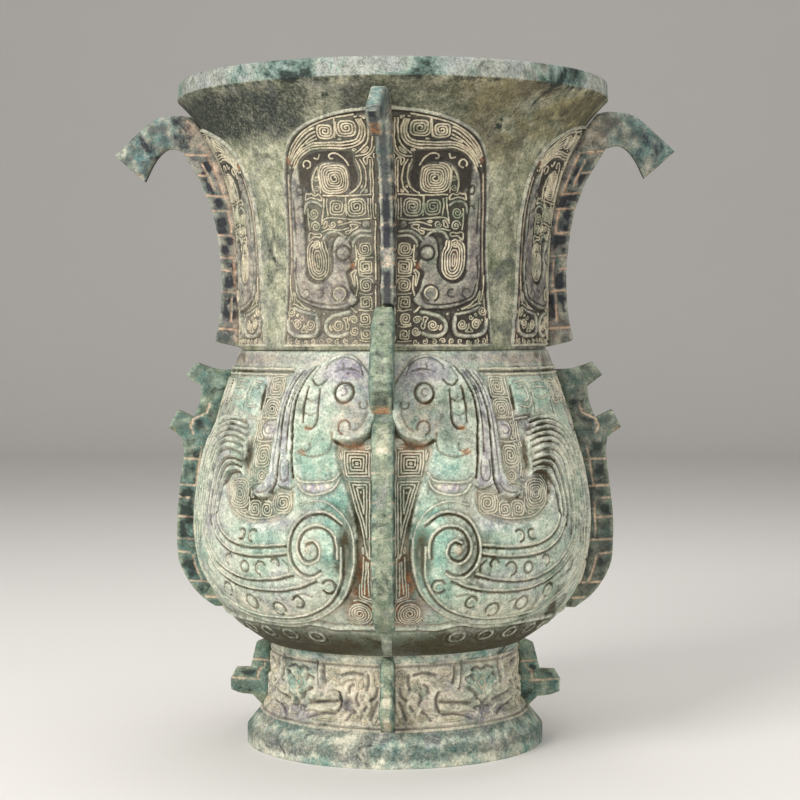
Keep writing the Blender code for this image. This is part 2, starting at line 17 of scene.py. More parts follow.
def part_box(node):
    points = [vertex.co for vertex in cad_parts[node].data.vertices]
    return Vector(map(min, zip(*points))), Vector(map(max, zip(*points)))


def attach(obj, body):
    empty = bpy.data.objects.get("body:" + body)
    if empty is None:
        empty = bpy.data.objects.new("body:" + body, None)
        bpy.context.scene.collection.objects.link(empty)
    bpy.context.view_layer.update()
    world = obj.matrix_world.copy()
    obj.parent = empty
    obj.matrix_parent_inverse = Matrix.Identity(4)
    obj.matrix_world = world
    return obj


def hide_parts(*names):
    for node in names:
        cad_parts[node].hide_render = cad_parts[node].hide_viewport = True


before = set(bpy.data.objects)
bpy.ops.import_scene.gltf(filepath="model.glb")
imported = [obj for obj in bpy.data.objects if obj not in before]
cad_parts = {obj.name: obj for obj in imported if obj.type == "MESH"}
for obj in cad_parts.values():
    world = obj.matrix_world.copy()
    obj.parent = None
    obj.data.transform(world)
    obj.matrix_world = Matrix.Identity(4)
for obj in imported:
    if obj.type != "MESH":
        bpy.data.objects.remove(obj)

Point = tuple[float, float]
Points = list[Point]
Colour = tuple[float, float, float]
Socket = bpy.types.NodeSocket
Item = bpy.types.Object
Material = bpy.types.Material
Finishes = dict[str, Material]
Number = Socket | float

MM = 0.001
QUARTER = math.pi / 2
BODY = "root"
TINTS = ("dust", "dark", "rust", "wear", "teal", "lilac")
TINY = 1e-9
LUMP_SEED = 7
LOG = logging.getLogger("zun")


class Side(Enum):
    """The four flange lines, by their quarter turns from the front."""

    FRONT = 0
    RIGHT = 1
    BACK = 2
    LEFT = 3

    @property
    def azimuth(self) -> float:
        """Angle from the front towards +X, in radians."""
        return self.value * QUARTER

    @property
    def out(self) -> np.ndarray:
        """Step straight out from the axis."""
        return np.array([math.sin(self.azimuth), -math.cos(self.azimuth), 0.0])

    @property
    def across(self) -> np.ndarray:
        """Step across the flange, to the right when it is faced."""
        return np.array([math.cos(self.azimuth), math.sin(self.azimuth), 0.0])


class Shape(Enum):
    """How a coil of thread turns: round, or with squared corners."""

    ROUND = 2.0
    SOFT = 3.4
    SQUARE = 9.0


# Flat drawing


def trace(text: str) -> Points:
    """Read a traced path: pairs of numbers, across and up."""
    values = [float(part) for part in text.split()]
    return list(zip(values[::2], values[1::2]))


def traces(text: str) -> list[Points]:
    """Read traced paths, one to a line."""
    return [trace(line) for line in text.strip().splitlines()]


def spline(points: Points, step: float = 0.5, closed: bool = False) -> np.ndarray:
    """Run an even curve through points.

    Args:
        points: Places to pass through, in millimetres.
        step: Largest distance between two samples.
        closed: Whether the end joins the start.

    Returns:
        Samples along the curve, one row each.
    """
    knots = np.asarray(points, float)
    if closed:
        knots = np.vstack([knots[-1:], knots, knots[:2]])
    else:
        knots = np.vstack([2 * knots[:1] - knots[1:2], knots, 2 * knots[-1:] - knots[-2:-1]])
    runs = []
    for p0, p1, p2, p3 in zip(knots, knots[1:], knots[2:], knots[3:]):
        count = max(1, math.ceil(float(np.linalg.norm(p2 - p1)) / step))
        t = np.arange(count)[:, None] / count
        runs.append(0.5 * (2 * p1 + (p2 - p0) * t + (2 * p0 - 5 * p1 + 4 * p2 - p3) * t ** 2
                           + (3 * p1 - p0 - 3 * p2 + p3) * t ** 3))
    path = np.vstack(runs)
    return path if closed else np.vstack([path, knots[-2:-1]])


def arc(centre: Point, radius: float, start: float, end: float, squash: float = 1.0) -> Points:
    """Give points on a circular arc, from one angle to another in degrees."""
    count = max(4, int(abs(end - start) / 24))
    angles = np.radians(np.linspace(start, end, count + 1))
    return [(centre[0] + radius * math.cos(a), centre[1] + squash * radius * math.sin(a)) for a in angles]


def leftward(path: np.ndarray, closed: bool = False) -> np.ndarray:
    """Give the unit step to the left of a path's run, at each sample."""
    run = np.roll(path, -1, axis=0) - np.roll(path, 1, axis=0) if closed else np.gradient(path, axis=0)
    run = run / np.maximum(np.linalg.norm(run, axis=1, keepdims=True), TINY)
    return np.column_stack([-run[:, 1], run[:, 0]])


def shifted(points: Points, offset: float) -> Points:
    """Move a path sideways, to the left of its run."""
    path = spline(points, 1.5)
    return [tuple(place) for place in path + offset * leftward(path)]


def mirrored(points: Points, middle: float) -> Points:
    """Reflect a path in an upright line."""
    return [(2 * middle - s, v) for s, v in points]


def limited(value: np.ndarray) -> np.ndarray:
    """Hold a share between 0 and 1."""
    return np.clip(value, 0.0, 1.0)


def eased(value: np.ndarray) -> np.ndarray:
    """Round a rise from 0 to 1 like a quarter of a sine."""
    return np.sin(limited(value) * QUARTER)


def away_from(places: np.ndarray, starts: np.ndarray, ends: np.ndarray) -> np.ndarray:
    """Distance of places from the nearest of some straight lines."""
    best = np.full(len(places), 99.0)
    for a, b in zip(starts, ends):
        run = b - a
        t = limited((places - a) @ run / max(float(run @ run), TINY))
        best = np.minimum(best, np.linalg.norm(places - a - t[:, None] * run, axis=1))
    return best


@dataclass
class Ornament:
    """A field of cast ornament on the unrolled wall: a ground in relief, and threads that lie on it.

    The field runs from left to right and from low to high in millimetres, and ground is its height off
    the wall. A groove leaves it at least thin, back is the level of its hidden face, and stride the
    number of grid steps to one face there.
    """

    left: float
    right: float
    low: float
    high: float
    step: float
    ground: float
    threads: list[tuple[np.ndarray, float, float]] = field(default_factory=list)
    coils: list[tuple[float, ...]] = field(default_factory=list)
    thin: float = 0.05
    back: float = -0.9
    stride: int = 8

    def __post_init__(self) -> None:
        """Lay out the grid and its bare ground."""
        across = round((self.right - self.left) / self.step / self.stride) * self.stride + 1
        up = round((self.high - self.low) / self.step / self.stride) * self.stride + 1
        self.s = np.linspace(self.left, self.right, across)
        self.v = np.linspace(self.low, self.high, up)
        self.height = np.full((up, across), self.ground)
        self.tints = {key: np.zeros((up, across)) for key in TINTS}

    def distance(self, path: np.ndarray, reach: float) -> np.ndarray:
        """Distance of every grid point from a path, no more than reach."""
        found = np.full(self.height.shape, reach)
        for (s0, v0), (s1, v1) in zip(path, path[1:]):
            i = np.searchsorted(self.s, (min(s0, s1) - reach, max(s0, s1) + reach))
            j = np.searchsorted(self.v, (min(v0, v1) - reach, max(v0, v1) + reach))
            s, v = self.s[None, i[0]:i[1]], self.v[j[0]:j[1], None]
            ds, dv = s1 - s0, v1 - v0
            t = limited(((s - s0) * ds + (v - v0) * dv) / max(ds * ds + dv * dv, TINY))
            spot = found[j[0]:j[1], i[0]:i[1]]
            np.minimum(spot, np.hypot(s - s0 - t * ds, v - v0 - t * dv), out=spot)
        return found

    def inside(self, path: np.ndarray) -> np.ndarray:
        """Which grid points a closed path holds."""
        held = np.zeros(self.height.shape, bool)
        for (s0, v0), (s1, v1) in zip(path, np.roll(path, -1, axis=0)):
            rows = np.nonzero((v0 > self.v) != (v1 > self.v))[0]
            at = s0 + (self.v[rows] - v0) * (s1 - s0) / (v1 - v0 if v1 != v0 else 1.0)
            held[rows] ^= self.s[None, :] < at[:, None]
        return held

    def depth(self, outline: Points, reach: float, sharp: bool = False) -> np.ndarray:
        """Distance in from a closed outline, 0 outside it and no more than reach."""
        path = np.asarray(outline, float) if sharp else spline(outline, 1.0, True)
        loop = np.vstack([path, path[:1]])
        return np.where(self.inside(path), self.distance(loop, reach), 0.0)

    def paint(self, share: np.ndarray, **tints: float) -> None:
        """Blend tints in where share is above 0."""
        for key, value in tints.items():
            self.tints[key] += (value - self.tints[key]) * share

    def lift(self, share: np.ndarray, rise: np.ndarray, tints: dict[str, float]) -> None:
        """Bring the relief up to a height where share is above 0, and tint it there."""
        self.height = np.where(share > 0, np.maximum(self.height, rise), self.height)
        self.paint(share, **({"dark": 0.0} | tints))

    def rounded(self, points: Points, half: float) -> np.ndarray:
        """Share of a rounded line at every grid point, 1 in its middle and 0 past half."""
        away = self.distance(spline(points), half * 1.25)
        return limited(1.0 - (away / half) ** 2)

    def swell(self, outline: Points, edge: float, lip: float, crown: float = 0.0, reach: float = 1.0,
              sharp: bool = False, **tints: float) -> np.ndarray:
        """Raise a closed shape over the ground.

        Args:
            outline: The shape's edge.
            edge: Height just inside the edge, reached within lip.
            lip: Width of the rounded edge.
            crown: Further height of the middle, reached within reach.
            reach: Distance from the edge to the full crown.
            sharp: Whether the outline keeps its corners.
            tints: What the shape is tinted with.

        Returns:
            The share of the edge height at every grid point.
        """
        depth = self.depth(outline, max(lip, reach), sharp)
        share = eased(depth / lip)
        self.lift(share, self.ground + edge * share + crown * eased(depth / reach), tints)
        return share

    def band(self, points: Points, half: float, high: float, lip: float = 0.45, **tints: float) -> None:
        """Raise a flat-topped band over the ground along a path."""
        share = eased((half - self.distance(spline(points), half)) / lip)
        self.lift(share, self.ground + high * share, tints)

    def ridge(self, points: Points, half: float, high: float, **tints: float) -> None:
        """Raise a rounded line from the relief below it."""
        share = self.rounded(points, half)
        self.height += high * share
        self.paint(share, **({"dark": 0.0} | tints))

    def dish(self, outline: Points, deep: float, lip: float, **tints: float) -> None:
        """Sink a closed shape."""
        share = eased(self.depth(outline, lip) / lip)
        self.height -= deep * share
        self.paint(share, **tints)

    def groove(self, points: Points, half: float, deep: float, dark: float = 0.9) -> None:
        """Cut a line into the relief, no deeper than the wall behind it, with painted shade in it."""
        share = self.rounded(points, half)
        self.height = np.maximum(self.height - deep * share, np.minimum(self.height, self.thin))
        self.tints["dark"] = np.maximum(self.tints["dark"], dark * np.sqrt(share))

    def grooves(self, text: str, half: float, deep: float, dark: float) -> None:
        """Cut a line along each traced path."""
        for line in traces(text):
            self.groove(line, half, deep, dark)

    def dome(self, centre: Point, radius: float, high: float, soft: bool = False) -> None:
        """Add a round boss, or a pit where high is below 0."""
        share = np.hypot(self.s[None, :] - centre[0], self.v[:, None] - centre[1]) / radius
        self.height += high * (np.exp(-share ** 2) if soft else np.sqrt(limited(1 - share ** 2)))

    def stain(self, centre: Point, across: float, up: float, **tints: float) -> None:
        """Tint an oval patch with soft edges, where it is not tinted more already."""
        away = np.hypot((self.s[None, :] - centre[0]) / across, (self.v[:, None] - centre[1]) / up)
        share = limited(1.6 - 1.6 * away)
        for key, value in tints.items():
            self.tints[key] = np.maximum(self.tints[key], value * share)

    def lay(self, path: np.ndarray, girth: float, tone: float, shade: float) -> None:
        """Lay a raised line along samples, and darken the ground beside it as painted shade."""
        self.threads.append((path, girth, tone))
        near = limited(1.5 - self.distance(path, girth * 4) / (girth * 2.4))
        self.tints["dark"] = np.maximum(self.tints["dark"], shade * near)

    def thread(self, points: Points, girth: float, tone: float, shade: float = 0.5) -> None:
        """Lay a raised line.

        Args:
            points: Places that the line passes.
            girth: Half its width.
            tone: From 0, green like the relief, to 1, covered in dust.
            shade: How dark the painted shade on the ground beside it is.
        """
        self.lay(spline(points), girth, tone, shade)

    def strands(self, text: str, girth: float = 0.32, tone: float = 0.85, shade: float = 1.0) -> None:
        """Lay a raised line along each traced path."""
        for line in traces(text):
            self.thread(line, girth, tone, shade)

    def nest(self, outline: Points, tone: float, rings: int = 9, pitch: float = 1.0, girth: float = 0.31,
             shade: float = 0.85) -> None:
        """Fill a closed shape with lines that follow its edge, one inside the other.

        Args:
            outline: The shape's corners.
            tone: As for a thread.
            rings: Largest number of lines.
            pitch: Distance between two lines.
            girth: Half a line's width.
            shade: As for a thread.
        """
        corners = np.asarray(outline, float)
        sides = []
        for a, b in zip(corners, np.roll(corners, -1, axis=0)):
            step = 0.5 / max(float(np.linalg.norm(b - a)), 0.5)
            sides.append(a + (b - a) * np.arange(0, 1, step)[:, None])
        loop = np.vstack(sides)
        after = np.roll(loop, -1, axis=0)
        turn = 1.0 if float(np.sum(loop[:, 0] * after[:, 1] - loop[:, 1] * after[:, 0])) > 0 else -1.0
        inward = turn * leftward(loop, closed=True)
        for k in range(rings):
            offset = pitch * (k + 0.5)
            moved = loop + inward * offset
            kept = away_from(moved, loop, after) > offset - 0.15 * pitch
            if not kept.any():
                break
            first = 0 if kept.all() else int(np.argmin(kept))
            order = np.roll(np.arange(len(loop)), -first)
            piece = []
            for spot in [*order, order[0]]:
                if kept[spot]:
                    piece.append(moved[spot])
                if not kept[spot] or spot == order[-1]:
                    if len(piece) > 4:
                        self.lay(np.array(piece), girth, tone, shade)
                    piece = []

    def coil(self, centre: Point, radius: float, shape: Shape = Shape.ROUND, spin: float = 0.0,
             tall: float = 1.0, pitch: float = 0.98, girth: float = 0.32, tone: float = 0.85,
             way: int = 1, shade: float = 0.85) -> None:
        """Lay a thunder-pattern coil.

        Args:
            centre: Middle of the coil.
            radius: Half its width.
            shape: How its corners turn.
            spin: Angle of its outer end, in degrees.
            tall: Its height over its width.
            pitch: Distance between two turns.
            girth: Half the thread's width.
            tone: As for a thread.
            way: 1 or -1, the hand of its turns.
            shade: How dark the painted shade on the ground between its turns is.
        """
        turns = radius / pitch
        start = math.radians(spin) - way * 2 * math.pi * turns
        self.coils.append((*centre, radius, start, way * turns, shape.value, tall, girth, tone))
        self.stain(centre, radius * 1.5, radius * 1.5 * tall, dark=shade)

    def contours(self, values: np.ndarray, level: float) -> list[np.ndarray]:
        """Lines of equal value on the grid, each as samples in order."""
        spots: dict[tuple[int, int, int], Point] = {}
        links: dict[tuple[int, int, int], list] = {}
        above = values > level
        corners = above[:-1, :-1] * 1 + above[:-1, 1:] + above[1:, :-1] + above[1:, 1:]
        for j, i in np.argwhere((corners > 0) & (corners < 4)).tolist():
            found = []
            for key, a, b in (((0, j, i), (j, i), (j, i + 1)), ((1, j, i + 1), (j, i + 1), (j + 1, i + 1)),
                              ((0, j + 1, i), (j + 1, i), (j + 1, i + 1)), ((1, j, i), (j, i), (j + 1, i))):
                if above[a] != above[b]:
                    share = (level - values[a]) / (values[b] - values[a])
                    spots[key] = (self.s[a[1]] + share * (self.s[b[1]] - self.s[a[1]]),
                                  self.v[a[0]] + share * (self.v[b[0]] - self.v[a[0]]))
                    found.append(key)
            for one, two in zip(found[::2], found[1::2]):
                links.setdefault(one, []).append(two)
                links.setdefault(two, []).append(one)
        lines = []
        for start in sorted(links, key=lambda key: (len(links[key]), key)):
            here, walk = start, [start]
            while links[here]:
                ahead = links[here].pop()
                links[ahead].remove(here)
                walk.append(ahead)
                here = ahead
            if len(walk) > 5:
                lines.append(np.array([spots[key] for key in walk]))
        return lines

    def echo(self, outline: Points, pitch: float = 0.86, girth: float = 0.3, tone: float = 0.8,
             shade: float = 0.9) -> None:
        """Fill the bare ground inside an outline with lines that follow what lies there already.

        Args:
            outline: Edge of the ground to fill.
            pitch: Distance between two lines.
            girth: Half a line's width.
            tone: As for a thread.
            shade: As for a thread.
        """
        reach = 5 * pitch
        away = np.full(self.height.shape, reach)
        for path, _, _ in self.threads:
            np.minimum(away, self.distance(path, reach), out=away)
        for s, v, radius, _, _, corner, tall, _, _ in self.coils:
            ds, dv = np.abs(self.s[None, :] - s), np.abs(self.v[:, None] - v) / tall
            np.minimum(away, (ds ** corner + dv ** corner) ** (1 / corner) - radius, out=away)
        taken = np.abs(self.height - self.ground) > 0.2
        beside = [np.roll(taken, step, axis) for axis in (0, 1) for step in (1, -1)]
        rows, columns = np.nonzero(taken & ~np.all(beside, axis=0))
        for j, level in enumerate(self.v):
            near = np.abs(self.v[rows] - level) < reach
            if near.any():
                gap = np.hypot(self.s[:, None] - self.s[columns[near]], level - self.v[rows[near]])
                away[j] = np.minimum(away[j], gap.min(axis=1) - 0.25)
        away[taken] = -1.0
        held = self.depth(outline, 1.0, sharp=True) > 0.4
        for k in range(5):
            for line in self.contours(away, pitch * (k + 0.95)):
                for _ in range(2):
                    line[1:-1] = (line[:-2] + 2 * line[1:-1] + line[2:]) / 4
                i = np.clip(np.searchsorted(self.s, line[:, 0]), 0, len(self.s) - 1)
                j = np.clip(np.searchsorted(self.v, line[:, 1]), 0, len(self.v) - 1)
                cuts = np.nonzero(np.diff(held[j, i].astype(int)))[0] + 1
                for run, kept in zip(np.split(line, cuts), np.split(held[j, i], cuts)):
                    if kept[0] and len(run) > 5:
                        self.lay(run[::2] if len(run) > 8 else run, girth, tone, shade)

    def shade_hollows(self) -> None:
        """Gather dust where the relief is hollow, and note where it stands up, for wear and a painted
        highlight.
        """
        pad = 4
        smooth = self.height
        for axis in (0, 1):
            edge = [(pad, pad) if a == axis else (0, 0) for a in (0, 1)]
            run = np.cumsum(np.pad(smooth, edge, mode="edge"), axis=axis)
            size = smooth.shape[axis]
            ahead = np.take(run, range(2 * pad, 2 * pad + size), axis=axis)
            behind = np.take(run, range(0, size), axis=axis)
            smooth = (ahead - behind) / (2 * pad)
        rise = self.height - smooth
        self.tints["wear"] = np.maximum(self.tints["wear"], limited(rise / 0.4))
        self.tints["dust"] = np.maximum(self.tints["dust"], limited(-rise / 0.5) * 0.7)

    def solid(self, name: str) -> Item:
        """Make the ground a closed flat slab, with a coarse back.

        Args:
            name: Name of the helper object.

        Returns:
            The slab, in millimetres, with its tints as attributes.
        """
        self.shade_hollows()
        up, across = self.height.shape
        top = np.arange(up * across).reshape(up, across)
        grid_s, grid_v = np.meshgrid(self.s, self.v)
        below = np.zeros((up, across), bool)
        below[[0, -1]] = True
        below[:, [0, -1]] = True
        below[::self.stride, ::self.stride] = True
        under = np.full((up, across), -1)
        under[below] = up * across + np.arange(below.sum())
        places = np.column_stack([grid_s.ravel(), grid_v.ravel(), self.height.ravel()])
        backs = np.column_stack([grid_s[below], grid_v[below], np.full(below.sum(), self.back)])
        faces = np.stack([top[:-1, :-1], top[:-1, 1:], top[1:, 1:], top[1:, :-1]], -1)
        faces = faces.reshape(-1, 4).tolist()
        rim = [(0, i) for i in range(across)] + [(j, across - 1) for j in range(1, up)]
        rim += [(up - 1, i) for i in range(across - 2, -1, -1)] + [(j, 0) for j in range(up - 2, 0, -1)]
        for a, b in zip(rim, rim[1:] + rim[:1]):
            faces.append([int(top[b]), int(top[a]), int(under[a]), int(under[b])])
        k = self.stride
        for j in range(0, up - 1, k):
            for i in range(0, across - 1, k):
                walk = [(j, i + d) for d in (range(k) if j == 0 else (0,))]
                walk += [(j + d, i + k) for d in (range(k) if i + k == across - 1 else (0,))]
                walk += [(j + k, i + k - d) for d in (range(k) if j + k == up - 1 else (0,))]
                walk += [(j + k - d, i) for d in (range(k) if i == 0 else (0,))]
                faces.append([int(under[spot]) for spot in reversed(walk)])
        item = new_object(name, np.vstack([places, backs]), faces)
        for tint, values in self.tints.items():
            store(item.data, tint, np.concatenate([values.ravel(), values[below]]))
        return item

    def lines(self, name: str) -> tuple[Item, Item]:
        """Make the flat paths of the threads, and the middles of the coils."""
        places, edges, girth, tone = [], [], [], []
        for path, half, dusty in self.threads:
            first = len(places)
            places += [(s, v, 0.0) for s, v in path]
            edges += [(first + i, first + i + 1) for i in range(len(path) - 1)]
            girth += [half] * len(path)
            tone += [dusty] * len(path)
        paths = new_object(name + "_paths", np.array(places), [], edges)
        store(paths.data, "girth", girth)
        store(paths.data, "tone", tone)
        rows = np.array(self.coils)
        spots = np.column_stack([rows[:, :2], np.zeros(len(rows))])
        middles = new_object(name + "_coils", spots, [])
        keys = ("reach", "start", "turns", "corner", "tall", "girth", "tone")
        for key, values in zip(keys, rows[:, 2:].T):
            store(middles.data, key, values)
        layer = middles.data.attributes.new("middle", "FLOAT_VECTOR", "POINT")
        layer.data.foreach_set("vector", spots.ravel())
        return paths, middles


def linked(name: str, data: bpy.types.ID) -> Item:
    """Make an object of its data and put it in the scene."""
    item = bpy.data.objects.new(name, data)
    bpy.context.scene.collection.objects.link(item)
    return item


def new_object(name: str, places: np.ndarray, faces: list, edges: list | None = None) -> Item:
    """Make a mesh object and put it in the scene."""
    mesh = bpy.data.meshes.new(name)
    mesh.from_pydata(np.asarray(places, float).tolist(), edges or [], faces)
    mesh.update()
    return linked(name, mesh)


def store(mesh: bpy.types.Mesh, name: str, values: "np.ndarray | list[float]") -> None:
    """Keep one number for each point of a mesh."""
    layer = mesh.attributes.new(name, "FLOAT", "POINT")
    layer.data.foreach_set("value", np.asarray(values, np.float32))


# Node trees


class Nodes:
    """Short calls that fill one node tree."""

    def __init__(self, tree: bpy.types.NodeTree) -> None:
        """Take the tree to fill."""
        self.tree = tree

    def feed(self, socket: Socket, value: "Socket | float | tuple | str | bool") -> None:
        """Link a socket to another, or set its value."""
        if isinstance(value, Socket):
            self.tree.links.new(value, socket)
        else:
            socket.default_value = value

    def add(self, kind: str, inputs: dict | None = None, **settings: object) -> bpy.types.Node:
        """Add a node with its settings and its inputs by name or place."""
        node = self.tree.nodes.new(kind)
        for key, value in settings.items():
            setattr(node, key, value)
        for key, value in (inputs or {}).items():
            self.feed(node.inputs[key], value)
        return node

    def math(self, operation: str, a: Number, b: Number = 0.0,
             clamp: bool = False) -> Socket:
        """Join two numbers."""
        return self.add("ShaderNodeMath", {0: a, 1: b}, operation=operation, use_clamp=clamp).outputs[0]

    def total(self, *terms: Number) -> Socket:
        """Add numbers up."""
        result = terms[0]
        for term in terms[1:]:
            result = self.math("ADD", result, term)
        return result

    def times(self, *terms: Number) -> Socket:
        """Multiply numbers."""
        result = terms[0]
        for term in terms[1:]:
            result = self.math("MULTIPLY", result, term)
        return result

    def split(self, vector: Socket) -> list[Socket]:
        """Give a vector's three numbers."""
        return list(self.add("ShaderNodeSeparateXYZ", {0: vector}).outputs)

    def vector(self, x: Number, y: Number, z: Number) -> Socket:
        """Make a vector of three numbers."""
        return self.add("ShaderNodeCombineXYZ", {0: x, 1: y, 2: z}).outputs[0]

    def moved(self, operation: str, a: Socket, b: "Socket | tuple") -> Socket:
        """Join two vectors."""
        return self.add("ShaderNodeVectorMath", {0: a, 1: b}, operation=operation).outputs[0]

    def scaled(self, vector: Socket, scale: Number) -> Socket:
        """Scale a vector."""
        return self.add("ShaderNodeVectorMath", {0: vector, "Scale": scale}, operation="SCALE").outputs[0]

    def noise(self, place: Socket, scale: float, detail: float = 3.0, rough: float = 0.6,
              twist: float = 0.0) -> bpy.types.Node:
        """Add a noise pattern."""
        values = {"Vector": place, "Scale": scale, "Detail": detail, "Roughness": rough, "Distortion": twist}
        return self.add("ShaderNodeTexNoise", values)

    def between(self, value: Socket, low: float, high: float) -> Socket:
        """Stretch a value so that low becomes 0 and high becomes 1."""
        values = {"Value": value, "From Min": low, "From Max": high}
        return self.add("ShaderNodeMapRange", values, clamp=True).outputs[0]

    def mix(self, share: Number, a: "Socket | tuple", b: "Socket | tuple",
            blend: str = "MIX") -> Socket:
        """Mix two colours."""
        node = self.add("ShaderNodeMix", {0: share, 6: a, 7: b}, data_type="RGBA", blend_type=blend)
        return node.outputs[2]


class GrowingTree(Nodes):
    """A Geometry Nodes tree with named inputs."""

    def __init__(self, name: str, inputs: dict[str, str]) -> None:
        """Make the tree, with its inputs' names and socket types."""
        super().__init__(bpy.data.node_groups.new(name, "GeometryNodeTree"))
        face = self.tree.interface
        face.new_socket("Geometry", in_out="INPUT", socket_type="NodeSocketGeometry")
        face.new_socket("Geometry", in_out="OUTPUT", socket_type="NodeSocketGeometry")
        self.keys = {}
        for label, kind in inputs.items():
            self.keys[label] = face.new_socket(label, in_out="INPUT", socket_type=kind).identifier
        self.ports = self.tree.nodes.new("NodeGroupInput").outputs

    def named(self, name: str, kind: str = "FLOAT") -> Socket:
        """Read an attribute of the geometry."""
        node = self.add("GeometryNodeInputNamedAttribute", {"Name": name}, data_type=kind)
        return node.outputs["Attribute"]

    def thing(self, port: str) -> Socket:
        """Give the geometry of an object that is an input."""
        return self.add("GeometryNodeObjectInfo", {"Object": self.ports[port]}).outputs["Geometry"]

    def place(self, shape: Socket, position: Socket) -> Socket:
        """Move every point of a geometry."""
        return self.add("GeometryNodeSetPosition", {"Geometry": shape, "Position": position}).outputs[0]

    def close(self, shape: Socket) -> None:
        """End the tree: smooth faces, real geometry, one material."""
        shape = self.add("GeometryNodeSetShadeSmooth", {"Geometry": shape}).outputs[0]
        shape = self.add("GeometryNodeRealizeInstances", {"Geometry": shape}).outputs[0]
        dressed = self.add("GeometryNodeSetMaterial", {"Geometry": shape, "Material": self.ports["Finish"]})
        self.add("NodeGroupOutput", {"Geometry": dressed.outputs[0]})

    def grow(self, item: Item, name: str, values: dict[str, object]) -> Item:
        """Run the tree on a helper object.

        Args:
            item: The helper that the tree starts from, which stays.
            name: Name of the piece that comes out.
            values: The tree's inputs by name.

        Returns:
            A new object at the origin with a plain mesh.
        """
        copy = linked(name + "_grown", item.data)
        tool = copy.modifiers.new("grow", "NODES")
        tool.node_group = self.tree
        for label, value in values.items():
            tool[self.keys[label]] = value
        graph = bpy.context.evaluated_depsgraph_get()
        mesh = bpy.data.meshes.new_from_object(copy.evaluated_get(graph), preserve_all_data_layers=True,
                                               depsgraph=graph)
        bpy.data.objects.remove(copy)
        mesh.name = name
        return linked(name, mesh)


class WallTree(GrowingTree):
    """A tree that lays flat work on a turned wall."""

    INPUTS = {"Wall": "NodeSocketObject", "Round": "NodeSocketFloat", "Turn": "NodeSocketFloat",
              "Mirror": "NodeSocketFloat", "Wander": "NodeSocketFloat", "Seed": "NodeSocketFloat",
              "Finish": "NodeSocketMaterial"}

    def lay(self, shape: Socket) -> Socket:
        """Wander a little by hand, wrap the flat work round the wall, and turn it the right way out.

        Args:
            shape: Flat geometry: across, up along the wall, and off the wall, in millimetres.

        Returns:
            The geometry on the wall, in metres.
        """
        ports = self.ports
        s, v, h = self.split(self.add("GeometryNodeInputPosition").outputs[0])
        drift = self.noise(self.vector(s, v, ports["Seed"]), 0.06, 2.0).outputs["Color"]
        drift = self.scaled(self.moved("SUBTRACT", drift, (0.5, 0.5, 0.5)), ports["Wander"])
        ds, dv, _ = self.split(drift)
        s, v = self.total(s, ds), self.total(v, dv)
        wall = {"Curves": self.thing("Wall"), "Length": v}
        sample = self.add("GeometryNodeSampleCurve", wall, mode="LENGTH")
        px, _, pz = self.split(sample.outputs["Position"])
        rx, _, rz = self.split(sample.outputs["Tangent"])
        radius = self.total(px, self.times(h, rz))
        level = self.math("SUBTRACT", pz, self.times(h, rx))
        angle = self.math("DIVIDE", self.times(s, ports["Mirror"]), ports["Round"])
        angle = self.total(angle, ports["Turn"])
        x = self.times(radius, self.math("SINE", angle))
        y = self.times(radius, self.math("COSINE", angle), -1.0)
        shape = self.place(shape, self.scaled(self.vector(x, y, level), MM))
        over = self.math("LESS_THAN", ports["Mirror"], 0.0)
        return self.add("GeometryNodeFlipFaces", {"Mesh": shape, "Selection": over}).outputs[0]


class ReliefTree(WallTree):
    """Lays a ground in relief on a wall."""

    def __init__(self) -> None:
        """Build the tree."""
        super().__init__("laid_relief", self.INPUTS)
        self.close(self.lay(self.ports["Geometry"]))


